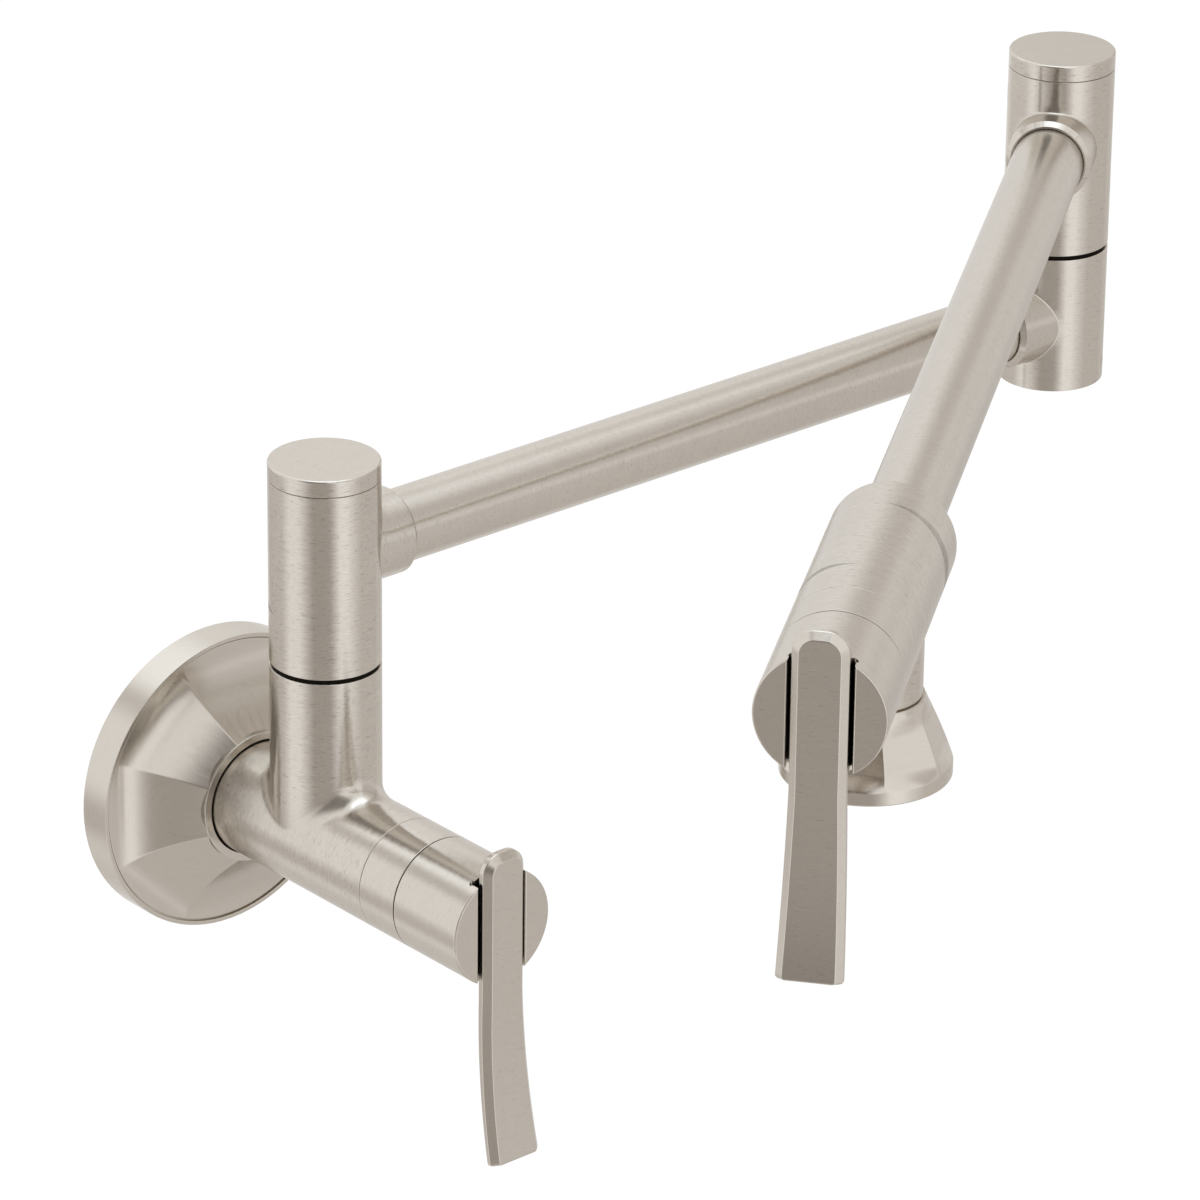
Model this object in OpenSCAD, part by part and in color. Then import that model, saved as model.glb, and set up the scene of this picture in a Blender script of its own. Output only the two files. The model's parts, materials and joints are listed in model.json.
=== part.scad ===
// Wall-mounted pot filler: a folding two-part arm with a lever valve at the wall and one at the nozzle.
// The origin is the centre of the threaded inlet at the wall. The wall is the plane y = 0, the room
// lies towards -Y, +Z is up, and the inner arm runs along +X at rest. Lengths are in millimetres.

/* [Reach] */
// From the wall to the axis of the wall column
wall_reach = 49.5; // [46:0.5:60]
// From the wall column to the elbow
inner_reach = 254; // [200:1:330]
// From the elbow to the nozzle
outer_reach = 308; // [290:1:400]
// Direction of the outer arm at rest, seen from above, in degrees from the inner arm
outer_arm_turn = -142.4; // [-165:0.1:-30]

/* [Columns] */
// Diameter of the columns and the elbow
column_d = 28.6; // [28:0.2:32]
// Height of the fixed column above the inlet
stub_h = 48.1; // [40:0.5:56]
// Height of a swivel barrel
barrel_h = 49.6; // [49:0.2:56]
// Depth of an arm below the top of its swivel barrel
arm_drop = 20.1; // [19.6:0.1:21.6]
// Height of the lower elbow barrel
elbow_h = 38.1; // [36:0.1:44]
// Height of the inner arm above the underside of the elbow
elbow_lift = 18.3; // [15:0.1:20]
// Height of a column cap
cap_h = 4.6; // [3:0.1:7]
// Gap between the two barrels of a swivel
swivel_gap = 1.2; // [0.8:0.1:2]
// Bevel on the rim of a cap
cap_bevel = 0.35; // [0.2:0.05:1.2]

/* [Arms] */
// Outside diameter of an arm tube
arm_d = 19.05; // [18:0.05:19.5]
// Wall of an arm tube
arm_wall = 1.3; // [1:0.1:2]
// Diameter of the collar round an arm
collar_d = 22.8; // [22.4:0.1:24]
// End of the collar, from the column axis
collar_reach = 21.6; // [20:0.1:26]
// Bevel on the end of the collar
collar_bevel = 1.2; // [0.6:0.1:1.4]

/* [Valves] */
// Diameter of the valve bodies
body_d = 30.6; // [30.2:0.1:34]
// Length of the wall valve body in front of the column axis
wall_valve_reach = 31.9; // [30:0.1:40]
// Length of the spout valve body in front of the nozzle axis
spout_valve_reach = 30.7; // [30:0.1:40]
// Length of the spout valve body behind the nozzle axis
shoulder_reach = 31.9; // [31:0.1:40]
// Radius round the rear edge of the spout valve body
shoulder_round = 1.8; // [1:0.1:3]
// Length of a trim ring
trim_l = 13.2; // [13:0.1:18]
// Gap between a trim ring and its handle
handle_gap = 0.6; // [0.4:0.1:1]
// Length of a handle hub
hub_l = 23.7; // [23:0.1:30]
// Radius of the blend between the wall column and the valve body
tee_blend = 6; // [3:0.5:8]
// Bevel on the plain edges
edge = 0.3; // [0.1:0.05:0.4]

/* [Levers] */
// Width of a lever at its hub
lever_w = 13.1; // [12:0.1:14]
// Width of a lever at its tip
tip_w = 15.7; // [13:0.1:18]
// Thickness of a lever at its hub
lever_t = 3.4; // [3:0.1:4.4]
// Thickness of a lever at its tip
tip_t = 3; // [2.6:0.1:4]
// Height of a lever above its valve axis
lever_rise = 21.2; // [19:0.1:24]
// Length of a lever below its valve axis
lever_drop = 62.4; // [50:0.2:75]
// Start of the forward sweep, below the valve axis
sweep_start = 18.4; // [16:0.1:25]
// Radius of the forward sweep
sweep_r = 200; // [120:5:400]
// Front face of a lever in front of its hub
lever_proud = 2.1; // [1.9:0.1:2.6]
// Bevel along the front edges of a lever
lever_bevel = 1.75; // [1:0.05:2.2]
// Radius of the top corners of a lever
lever_corner = 5.4; // [3:0.1:6]
// Gap on each side of a lever in its slot
slot_gap = 1; // [0.5:0.05:1.2]
// Depth of the lever's slot
slot_depth = 2.9; // [2.7:0.1:3.4]

/* [Wall flange] */
// Diameter of the flange
flange_d = 80.4; // [76:0.2:96]
// Depth of its round rim
rim_h = 9.4; // [8:0.1:11]
// Depth of the flange from the wall to its neck ring
flange_h = 22; // [21:0.2:25]
// Outside diameter of the neck ring
neck_ring_d = 35.6; // [34.6:0.1:37]
// Wall of the flange
flange_wall = 1.3; // [1:0.1:1.6]
// Gap between the neck ring and the valve body
neck_gap = 0.25; // [0.15:0.05:0.4]

/* [Nozzle] */
// Diameter of the drop tube
drop_d = 25.6; // [25:0.1:26]
// Length of the drop tube below the outer arm's axis
drop_l = 24.3; // [22:0.1:34]
// Diameter of the bell at its neck
bell_neck_d = 26.8; // [26.8:0.1:28]
// Diameter of the bell at its rim
bell_rim_d = 40.6; // [39:0.2:46]
// Height of the bell
bell_h = 20.3; // [19.5:0.1:26]
// Height of the rim band
bell_band_h = 3.2; // [2.4:0.1:4]

/* [Hidden] */
// Number of sides used to draw round shapes
$fn = 72;

// Fits
run_fit = 0.05;
face_fit = 0.1;
over = 1;
quarter_turn = 90;

// Heights of the swivels and arms
arm_lift = barrel_h - arm_drop;
wall_barrel_z = stub_h + swivel_gap;
inner_arm_z = wall_barrel_z + arm_lift;
elbow_z = inner_arm_z - elbow_lift;
elbow_top_z = elbow_z + elbow_h;
upper_barrel_z = elbow_top_z + swivel_gap;
outer_arm_z = upper_barrel_z + arm_lift;

// Swivel posts, which carry the barrels and the water
post_d = 16.8;
post_bore = 9.6;
post_seat = 12;
post_thread_d = 13;
post_window_d = 6;
nut_pocket_h = 9;
nut_pocket_d = 22;
nut_h = 4.5;
nut_d = 20.6;
nut_notch_w = 3;
nut_notch_depth = 1.6;
nut_notches = 4;
cap_plug_h = 3;
barrel_bore = post_d + 2 * run_fit;
ring_chamber_d = 21;
ring_chamber_h = 12;
washer_inset = 0.7;
post_shoulder_z = swivel_gap + barrel_h - nut_pocket_h + face_fit;
window_z = swivel_gap + arm_lift;

// Seals on the posts
post_seal_d = 2;
post_seal_land = 1.5;
post_seal_offset = ring_chamber_h / 2 + post_seal_land + post_seal_d / 2;
post_seal_zs = [window_z - post_seal_offset, window_z + post_seal_offset];
post_groove_h = 2.3;
post_groove_d = post_d - 2 * post_seal_d;

// Arm tubes and their sockets
arm_bore = arm_d - 2 * arm_wall;
socket_start = 12.8;
spout_socket_l = 12;
arm_port_d = 11;

// Inlet and cartridge chamber, measured from the column or nozzle axis along the valve
inlet_bore_d = 19.2;
inlet_bore_l = 14;
water_d = 12;
seat_z = -13;
chamber_d = 20.8;
seal_h = 2.4;
disc_d = 17.6;
disc_h = 2.4;
turning_d = disc_d - 4 * run_fit;
port_inner_r = 2;
port_w = 5.2;
port_turn = 55;
shell_d = 19.4;
shell_wall = (shell_d - disc_d) / 2;
shell_z = seat_z + seal_h;
guide_z = 8;
cartridge_nut_depth = 10;
cartridge_nut_d = 25.2;
cartridge_nut_proud = 6;
cartridge_nut_hex = 20;
cartridge_nut_hex_h = 3;
hex_sides = 6;
neck_d = 14.6;
trim_plate_h = 2;
stem_d = 9;
stem_end_d = 8;
stem_key_w = 5;
stem_key_h = 3;
stem_hub_l = 13;
moving_disc_z = shell_z + disc_h + face_fit;
stem_z = moving_disc_z + disc_h;

// Handle hub, glide washer, set screw and the lever's tenon
glide_inset = 0.8;
glide_bore_d = stem_d + 2 * run_fit;
set_screw_d = 4;
set_screw_z = 7;
set_screw_recess = 1.2;
set_screw_socket = 2;
set_screw_socket_depth = 2;
tenon_d = 6;
tenon_l = 4;
tenon_pad_d = 9;
slot_w = lever_w + 2 * slot_gap;
slot_relief_d = 1.5;

// Blend at the tee: number of steps round and across, and how deep its hidden edges lie
tee_steps = 48;
tee_arc_steps = 6;
tee_sink = 0.2;
tee_root = 1.2;
ball_reach = column_d / 2 + tee_blend;
ball_shell = body_d / 2 + tee_blend;

// Facets of the flange and the bell
facets = 8;
facet_steps = 6;
half_facet = 180 / facets;
rim_step = 0.5;
rim_lip = 1.1;
facet_seat = 0.2;
cone_sink = 1.5;
cone_foot_r = flange_d / 2 - rim_lip - facet_seat;
cone_top_r = neck_ring_d / 2 - facet_seat;
flange_curve = 1.7;
flange_level_shares = [0, 0.05, 0.12, 0.2, 0.3, 0.42, 0.55, 0.68, 0.8, 0.88, 0.94, 1];
flange_crease_in_shares = [0.02, 0.24];
flange_crease_out_shares = [0.82, 1];
neck_ring_h = 0.4;
flange_neck_h = 6.5;
flange_seal_d = 2;
flange_seal_inset = 1.8;
flange_seal_z = flange_h - flange_neck_h + flange_seal_inset;
bell_curve = 1.15;
bell_foot_r = bell_rim_d / 2 - facet_seat;
bell_level_shares = [0, 0.08, 0.17, 0.28, 0.4, 0.52, 0.64, 0.75, 0.85, 0.93, 1];
bell_crease_in_shares = [0.04, 0.34];
bell_crease_out_shares = [0.76, 1];

// Inside of the nozzle
spigot_d = 18;
spigot_l = 8;
nozzle_water_d = 12;
mouth_d = 35;
mouth_h = 5;
aerator_d = 24.6;
aerator_h = 8.4;
aerator_bore_d = 20.4;
aerator_lip_d = 17.6;
aerator_lip_h = 1.2;
aerator_proud = 1.6;
aerator_z = mouth_h - aerator_proud - bell_h;
aerator_washer_h = 1.6;
aerator_washer_bore = 15;
screen_h = 0.8;
screen_hole_d = 1.5;
screen_pitch = 2.6;
screen_rings = 3;
screen_holes_per_ring = 6;

// Levers: number of steps round a top corner and along the sweep
lever_corner_steps = 6;
lever_sweep_steps = 10;
sweep_angle = asin((lever_drop - sweep_start) / sweep_r);

nickel = [0.74, 0.71, 0.67];
brass = [0.80, 0.65, 0.35];
rubber = [0.10, 0.10, 0.10];
plastic = [0.16, 0.16, 0.16];
ceramic = [0.93, 0.92, 0.88];
steel = [0.72, 0.73, 0.75];

// Places

module at_wall_column() { translate([0, -wall_reach, 0]) children(); }
module at_elbow() { translate([inner_reach, -wall_reach, 0]) children(); }
module at_outer_arm() { at_elbow() rotate([0, 0, outer_arm_turn]) children(); }
module at_nozzle() { at_outer_arm() translate([outer_reach, 0, outer_arm_z]) children(); }
module at_drop_end() { at_nozzle() translate([0, 0, -drop_l]) children(); }
module along_arm() { rotate([0, quarter_turn, 0]) children(); }
// A valve's own frame: z runs out of the valve towards its handle, y is up
module facing_room() { rotate([quarter_turn, 0, 0]) children(); }
module at_wall_valve() { at_wall_column() facing_room() children(); }
module at_spout_valve() { at_nozzle() rotate([0, 0, quarter_turn]) facing_room() children(); }

// Plain shapes

function ease(from, to, x) = let (t = min(1, max(0, (x - from) / (to - from)))) t * t * (3 - 2 * t);

module beveled_bar(d, h, low, high) {
    rotate_extrude() polygon([
        [0, 0], [d / 2 - low, 0], [d / 2, low], [d / 2, h - high], [d / 2 - high, h], [0, h]
    ]);
}

module ring(d, bore, h) {
    difference() {
        cylinder(d = d, h = h);
        translate([0, 0, -over]) cylinder(d = bore, h = h + 2 * over);
    }
}

module o_ring(bore, d) { rotate_extrude() translate([(bore + d) / 2, 0]) circle(d = d, $fn = 24); }

module hexagon_bar(across, h) {
    cylinder(d = across / cos(180 / hex_sides), h = h, $fn = hex_sides);
}

module cross_holes(d, reach) {
    for (turn = [0, quarter_turn])
        rotate([0, 0, turn]) along_arm() cylinder(d = d, h = 2 * reach, center = true);
}

// Closed solid from a list of point loops of equal length. The last loop joins the first if closed.
module skin(loops, closed = false) {
    n = len(loops[0]);
    last = len(loops) - (closed ? 0 : 1);
    walls = [
        for (i = [0 : last - 1], j = [0 : n - 1])
            let (a = i * n + j, b = i * n + (j + 1) % n, up = ((i + 1) % len(loops)) * n)
            each [[a, up + j, b], [b, up + j, up + (j + 1) % n]]
    ];
    ends = closed ? [] : [[for (j = [0 : n - 1]) j], [for (j = [n - 1 : -1 : 0]) last * n + j]];
    polyhedron(points = [for (loop = loops) each loop], faces = concat(walls, ends));
}

// Radius at an angle of a round that is pressed towards a regular polygon by the share given
function facet_r(r, press, a) =
    r * (1 - press * (1 - cos(half_facet) / cos((a + half_facet) % (2 * half_facet) - half_facet)));

function facet_loop(r, z, press) = [
    for (k = [0 : facets * facet_steps - 1])
        let (a = k * 2 * half_facet / facet_steps)
        [facet_r(r, press, a) * cos(a), facet_r(r, press, a) * sin(a), z]
];

function facet_press(u, on, off) = ease(on[0], on[1], u) * (1 - ease(off[0], off[1], u));

// Swivel joint pieces, each drawn from the top face of the barrel that carries the post

module swivel_post() {
    color(brass) difference() {
        union() {
            translate([0, 0, -post_seat]) cylinder(d = post_d, h = post_seat + post_shoulder_z);
            translate([0, 0, post_shoulder_z - over]) cylinder(d = post_thread_d, h = nut_h + over);
        }
        translate([0, 0, -post_seat - over])
            cylinder(d = post_bore, h = post_seat + over + window_z + post_window_d);
        translate([0, 0, window_z]) cross_holes(post_window_d, post_d);
        for (z = post_seal_zs) translate([0, 0, z - post_groove_h / 2])
            ring(post_d + over, post_groove_d, post_groove_h);
    }
}

module post_o_rings() {
    color(rubber) for (z = post_seal_zs) translate([0, 0, z]) o_ring(post_groove_d, post_seal_d);
}

module bearing_washer() {
    color(plastic) ring(column_d - 2 * washer_inset, post_d, swivel_gap - face_fit);
}

module retaining_nut() {
    color(brass) translate([0, 0, post_shoulder_z]) difference() {
        ring(nut_d, post_thread_d, nut_h);
        for (k = [0 : nut_notches - 1]) rotate([0, 0, k * 360 / nut_notches])
            translate([nut_d / 2 - nut_notch_depth, -nut_notch_w / 2, nut_h / 2])
                cube([nut_notch_depth + over, nut_notch_w, nut_h]);
    }
}

// Collar and waterway of an arm that leaves a barrel along +X
module arm_collar() { along_arm() beveled_bar(collar_d, collar_reach, 0, collar_bevel); }

module arm_socket() {
    along_arm() {
        cylinder(d = arm_port_d, h = socket_start + over);
        translate([0, 0, socket_start]) cylinder(d = arm_d, h = collar_reach);
    }
}

// Barrel that turns on a post, drawn from its underside, with its arm along +X
module swivel_barrel() {
    color(nickel) difference() {
        union() {
            beveled_bar(column_d, barrel_h, edge, edge);
            translate([0, 0, arm_lift]) arm_collar();
        }
        translate([0, 0, -over]) cylinder(d = barrel_bore, h = barrel_h + 2 * over);
        translate([0, 0, barrel_h - nut_pocket_h]) cylinder(d = nut_pocket_d, h = nut_pocket_h + over);
        translate([0, 0, arm_lift - ring_chamber_h / 2]) cylinder(d = ring_chamber_d, h = ring_chamber_h);
        translate([0, 0, arm_lift]) arm_socket();
    }
}

module column_cap() {
    color(nickel) translate([0, 0, barrel_h]) union() {
        beveled_bar(column_d, cap_h, edge, cap_bevel);
        translate([0, 0, -cap_plug_h]) cylinder(d = nut_pocket_d, h = cap_plug_h + cap_h / 2);
    }
}

module arm_tube(from, to) {
    color(nickel) along_arm() translate([0, 0, from]) ring(arm_d, arm_bore, to - from);
}

// Valve pieces, drawn in the valve's own frame with the column or nozzle axis at z = 0

module valve_bores(reach) {
    translate([0, 0, seat_z]) cylinder(d = chamber_d, h = reach - seat_z + over);
    translate([0, 0, reach - cartridge_nut_depth])
        cylinder(d = cartridge_nut_d, h = cartridge_nut_depth + over);
}

module cartridge_seal() { color(rubber) translate([0, 0, seat_z]) ring(shell_d, water_d, seal_h); }

module ceramic_disc(z, d) {
    color(ceramic) translate([0, 0, z]) difference() {
        cylinder(d = d, h = disc_h);
        translate([0, 0, -over]) for (side = [0, 180]) rotate([0, 0, side - port_turn / 2])
            rotate_extrude(angle = port_turn) translate([port_inner_r, 0])
                square([port_w, disc_h + 2 * over]);
    }
}

module cartridge(reach) {
    nut_z = reach - cartridge_nut_depth;
    neck_end = reach + trim_l - trim_plate_h - face_fit;
    color(brass) difference() {
        union() {
            translate([0, 0, shell_z]) cylinder(d = shell_d, h = guide_z - shell_z);
            translate([0, 0, guide_z]) cylinder(d = chamber_d, h = nut_z - guide_z);
            translate([0, 0, guide_z]) cylinder(d = neck_d, h = neck_end - guide_z);
        }
        translate([0, 0, shell_z - over])
            cylinder(d = disc_d, h = guide_z - shell_wall - shell_z + over);
        cylinder(d = stem_d + 2 * run_fit, h = neck_end + over);
        cross_holes(post_window_d, shell_d);
    }
}

module cartridge_nut(reach) {
    round_l = cartridge_nut_depth + cartridge_nut_proud;
    color(brass) translate([0, 0, reach - cartridge_nut_depth]) difference() {
        union() {
            cylinder(d = cartridge_nut_d, h = round_l);
            hexagon_bar(cartridge_nut_hex, round_l + cartridge_nut_hex_h);
        }
        translate([0, 0, -over]) cylinder(d = neck_d, h = round_l + cartridge_nut_hex_h + 2 * over);
    }
}

module trim_ring(reach) {
    color(nickel) translate([0, 0, reach]) difference() {
        beveled_bar(body_d, trim_l, edge, edge);
        translate([0, 0, -over]) cylinder(d = cartridge_nut_d, h = trim_l - trim_plate_h + over);
        cylinder(d = glide_bore_d + 2 * run_fit, h = trim_l + over);
    }
}

module glide_washer(reach) {
    color(plastic) translate([0, 0, reach + trim_l])
        ring(body_d - 2 * glide_inset, glide_bore_d, handle_gap - face_fit);
}

module stem(reach) {
    shaft_end = reach + trim_l + handle_gap;
    color(brass) union() {
        translate([0, 0, stem_z]) intersection() {
            cylinder(d = turning_d, h = stem_key_h);
            translate([-disc_d / 2, -stem_key_w / 2, 0]) cube([disc_d, stem_key_w, stem_key_h]);
        }
        translate([0, 0, stem_z]) cylinder(d = stem_d, h = shaft_end - stem_z);
        translate([0, 0, shaft_end - over]) cylinder(d = stem_end_d, h = stem_hub_l + over);
    }
}

module handle_hub(reach) {
    back = reach + trim_l + handle_gap;
    floor_z = hub_l - slot_depth;
    color(nickel) translate([0, 0, back]) difference() {
        beveled_bar(body_d, hub_l, edge, edge);
        translate([0, 0, -over]) cylinder(d = stem_end_d, h = stem_hub_l + over);
        translate([-slot_w / 2, -body_d, floor_z]) cube([slot_w, 2 * body_d, slot_depth + over]);
        for (side = [-1, 1]) translate([side * (slot_w - slot_relief_d / 2) / 2, 0, floor_z])
            facing_room() cylinder(d = slot_relief_d, h = 2 * body_d, center = true);
        translate([0, 0, floor_z - tenon_l]) cylinder(d = tenon_d, h = tenon_l + over);
        translate([0, 0, set_screw_z]) facing_room() cylinder(d = set_screw_d, h = body_d);
    }
}

module set_screw(reach) {
    tip = stem_end_d / 2;
    length = body_d / 2 - set_screw_recess - tip;
    color(steel) translate([0, 0, reach + trim_l + handle_gap + set_screw_z]) facing_room()
        translate([0, 0, tip]) difference() {
            cylinder(d = set_screw_d, h = length);
            translate([0, 0, length - set_screw_socket_depth])
                hexagon_bar(set_screw_socket, set_screw_socket_depth + over);
        }
}

// One cross-section of the lever: front edge, beveled edge and back edge, first left and then right.
// high and inset are the outline's and the front face's heights, x and in their half widths.
function lever_row(x, in, high, inset, lean, back_t) =
    let (sweep = sweep_r * (1 - cos(lean)), cut = lever_bevel)
    [
        [-in, inset, sweep],
        [in, inset, sweep],
        [x, high - cut * sin(lean), sweep - cut * cos(lean)],
        [x, high - back_t * sin(lean), sweep - back_t * cos(lean)],
        [-x, high - back_t * sin(lean), sweep - back_t * cos(lean)],
        [-x, high - cut * sin(lean), sweep - cut * cos(lean)]
    ];

function lever_corner_row(a) =
    let (mid = lever_w / 2 - lever_corner, high = lever_rise - lever_corner,
         inner = lever_corner - lever_bevel)
    lever_row(mid + lever_corner * cos(a), mid + inner * cos(a), high + lever_corner * sin(a),
              high + inner * sin(a), 0, lever_t);

function lever_sweep_row(share) =
    let (lean = sweep_angle * share, along = sin(lean) / sin(sweep_angle),
         x = (lever_w + (tip_w - lever_w) * along) / 2, high = -sweep_start - sweep_r * sin(lean))
    lever_row(x, x - lever_bevel, high, high, lean, lever_t + (tip_t - lever_t) * along);

module lever(reach) {
    rows = concat(
        [for (k = [0 : lever_corner_steps]) lever_corner_row(quarter_turn * (1 - k / lever_corner_steps))],
        [for (k = [0 : lever_sweep_steps]) lever_sweep_row(k / lever_sweep_steps)]
    );
    last = len(rows) - 1;
    corners = len(rows[0]);
    walls = [
        for (i = [0 : last - 1], j = [0 : corners - 1])
            let (a = i * corners + j, b = i * corners + (j + 1) % corners)
            each [[a, b, a + corners], [b, b + corners, a + corners]]
    ];
    tip = last * corners;
    ends = [
        [0, 5, 2, 1], [5, 4, 3, 2],
        [tip, tip + 1, tip + 2, tip + 5], [tip + 5, tip + 2, tip + 3, tip + 4]
    ];
    face = reach + trim_l + handle_gap + hub_l;
    color(nickel) translate([0, 0, face]) union() {
        translate([0, 0, lever_proud])
            polyhedron(points = [for (row = rows) each row], faces = concat(walls, ends));
        translate([0, 0, -slot_depth]) cylinder(d = tenon_pad_d, h = slot_depth + lever_proud / 2);
        translate([0, 0, -slot_depth - tenon_l]) cylinder(d = tenon_d, h = tenon_l + over);
    }
}

// Blend between the wall column and the horizontal body: a ball rolled round the joint between them
function ball_centre(t) =
    [ball_reach * cos(t), ball_reach * sin(t), sqrt(ball_shell * ball_shell - pow(ball_reach * cos(t), 2))];
function to_column(t) = [-cos(t), -sin(t), 0];
function to_body(t) = let (c = ball_centre(t)) [-c.x, 0, -c.z] / ball_shell;
function blend_way(t, s) =
    let (a = to_column(t), b = to_body(t), w = acos(a * b))
    (sin((1 - s) * w) * a + sin(s * w) * b) / sin(w);
function blend_loop(t) =
    let (c = ball_centre(t), on_body = c + tee_blend * to_body(t))
    concat(
        [c + (tee_blend + tee_sink) * to_column(t)],
        [for (k = [1 : tee_arc_steps - 1]) c + tee_blend * blend_way(t, k / tee_arc_steps)],
        [c + (tee_blend + tee_sink) * to_body(t)],
        [[(column_d / 2 - tee_root) * cos(t), (column_d / 2 - tee_root) * sin(t), on_body.z - tee_root]]
    );

module tee_blend_ring() {
    skin([for (k = [0 : tee_steps - 1]) blend_loop(k * 360 / tee_steps)], closed = true);
}

// Wall flange, drawn with z out of the wall

function flange_r(u) = cone_foot_r + (cone_top_r - cone_foot_r) * u;
function flange_z(u) = rim_h - rim_step + (flange_h - neck_ring_h - rim_h + rim_step) * pow(u, flange_curve);

module flange_cone() {
    loops = concat(
        [facet_loop(flange_r(0), rim_h - cone_sink, 0)],
        [for (u = flange_level_shares)
            let (press = facet_press(u, flange_crease_in_shares, flange_crease_out_shares))
            facet_loop(flange_r(u), flange_z(u), press)]
    );
    skin(loops);
}

module flange_hollow() {
    hollow_top = flange_h - flange_neck_h;
    hollow_r = cone_foot_r + facet_seat - flange_wall;
    inner = [
        for (u = flange_level_shares)
            let (r = flange_r(u) * cos(half_facet) - flange_wall, z = flange_z(u) - flange_wall)
            if (z < hollow_top) [r, z]
    ];
    rotate_extrude() polygon(concat(
        [[0, -over], [hollow_r, -over], [hollow_r, rim_h - rim_step - 2 * flange_wall]],
        inner,
        [[body_d / 2 + neck_gap + flange_wall, hollow_top], [0, hollow_top]]
    ));
}

module wall_flange() {
    color(nickel) facing_room() difference() {
        union() {
            rotate_extrude() polygon([
                [0, 0], [flange_d / 2 - edge, 0], [flange_d / 2, edge], [flange_d / 2, rim_h - edge],
                [flange_d / 2 - edge, rim_h], [flange_d / 2 - rim_lip / 2, rim_h],
                [flange_d / 2 - rim_lip, rim_h - rim_step], [0, rim_h - rim_step]
            ]);
            flange_cone();
            translate([0, 0, flange_h - 2 * neck_ring_h]) beveled_bar(neck_ring_d, 2 * neck_ring_h, 0, edge);
        }
        flange_hollow();
        cylinder(d = body_d + 2 * neck_gap, h = flange_h + over);
        translate([0, 0, flange_seal_z - flange_seal_d / 2])
            cylinder(d = body_d + 2 * flange_seal_d, h = flange_seal_d);
    }
}

module flange_o_ring() {
    color(rubber) facing_room() translate([0, 0, flange_seal_z]) o_ring(body_d, flange_seal_d);
}

module wall_body() {
    color(nickel) difference() {
        union() {
            facing_room() beveled_bar(body_d, wall_reach + wall_valve_reach, edge, edge);
            at_wall_column() beveled_bar(column_d, stub_h, 0, edge);
            at_wall_column() tee_blend_ring();
        }
        facing_room() translate([0, 0, -over]) cylinder(d = inlet_bore_d, h = inlet_bore_l + over);
        facing_room() cylinder(d = water_d, h = wall_reach);
        at_wall_valve() valve_bores(wall_valve_reach);
        at_wall_column() cylinder(d = post_bore, h = stub_h);
        at_wall_column() translate([0, 0, stub_h - post_seat]) cylinder(d = post_d, h = post_seat + over);
    }
}

module wall_swivel_post() { at_wall_column() translate([0, 0, stub_h]) swivel_post(); }
module wall_post_o_rings() { at_wall_column() translate([0, 0, stub_h]) post_o_rings(); }
module wall_bearing_washer() { at_wall_column() translate([0, 0, stub_h]) bearing_washer(); }
module wall_retaining_nut() { at_wall_column() translate([0, 0, stub_h]) retaining_nut(); }
module wall_cartridge_seal() { at_wall_valve() cartridge_seal(); }
module wall_fixed_disc() { at_wall_valve() ceramic_disc(shell_z, disc_d); }
module wall_cartridge() { at_wall_valve() cartridge(wall_valve_reach); }
module wall_cartridge_nut() { at_wall_valve() cartridge_nut(wall_valve_reach); }
module wall_trim_ring() { at_wall_valve() trim_ring(wall_valve_reach); }
module wall_glide_washer() { at_wall_valve() glide_washer(wall_valve_reach); }
module wall_moving_disc() {
    at_wall_valve() rotate([0, 0, quarter_turn]) ceramic_disc(moving_disc_z, turning_d);
}
module wall_stem() { at_wall_valve() stem(wall_valve_reach); }
module wall_handle_hub() { at_wall_valve() handle_hub(wall_valve_reach); }
module wall_lever() { at_wall_valve() lever(wall_valve_reach); }
module wall_set_screw() { at_wall_valve() set_screw(wall_valve_reach); }

module wall_swivel_barrel() { at_wall_column() translate([0, 0, wall_barrel_z]) swivel_barrel(); }
module wall_column_cap() { at_wall_column() translate([0, 0, wall_barrel_z]) column_cap(); }
module inner_arm_tube() {
    at_wall_column() translate([0, 0, inner_arm_z]) arm_tube(socket_start, inner_reach - socket_start);
}

module elbow_lower_barrel() {
    color(nickel) at_elbow() translate([0, 0, elbow_z]) difference() {
        union() {
            beveled_bar(column_d, elbow_h, edge, edge);
            translate([0, 0, elbow_lift]) mirror([1, 0, 0]) arm_collar();
        }
        translate([0, 0, elbow_lift]) mirror([1, 0, 0]) arm_socket();
        translate([0, 0, elbow_lift]) cylinder(d = post_bore, h = elbow_h - elbow_lift);
        translate([0, 0, elbow_h - post_seat]) cylinder(d = post_d, h = post_seat + over);
    }
}

module elbow_swivel_post() { at_elbow() translate([0, 0, elbow_top_z]) swivel_post(); }
module elbow_post_o_rings() { at_elbow() translate([0, 0, elbow_top_z]) post_o_rings(); }
module elbow_bearing_washer() { at_elbow() translate([0, 0, elbow_top_z]) bearing_washer(); }
module elbow_retaining_nut() { at_elbow() translate([0, 0, elbow_top_z]) retaining_nut(); }
module elbow_upper_barrel() { at_outer_arm() translate([0, 0, upper_barrel_z]) swivel_barrel(); }
module elbow_cap() { at_outer_arm() translate([0, 0, upper_barrel_z]) column_cap(); }
module outer_arm_tube() {
    at_outer_arm() translate([0, 0, outer_arm_z])
        arm_tube(socket_start, outer_reach - shoulder_reach + spout_socket_l);
}

// Bar along z whose lower rim is rounded
module shouldered_bar(d, h, round_r) {
    rotate_extrude() union() {
        translate([d / 2 - round_r, round_r]) circle(r = round_r);
        square([d / 2 - round_r, h]);
        translate([0, round_r]) square([d / 2, h - round_r - edge]);
        polygon([[0, h - 2 * edge], [d / 2, h - 2 * edge], [d / 2, h - edge], [d / 2 - edge, h], [0, h]]);
    }
}

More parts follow.
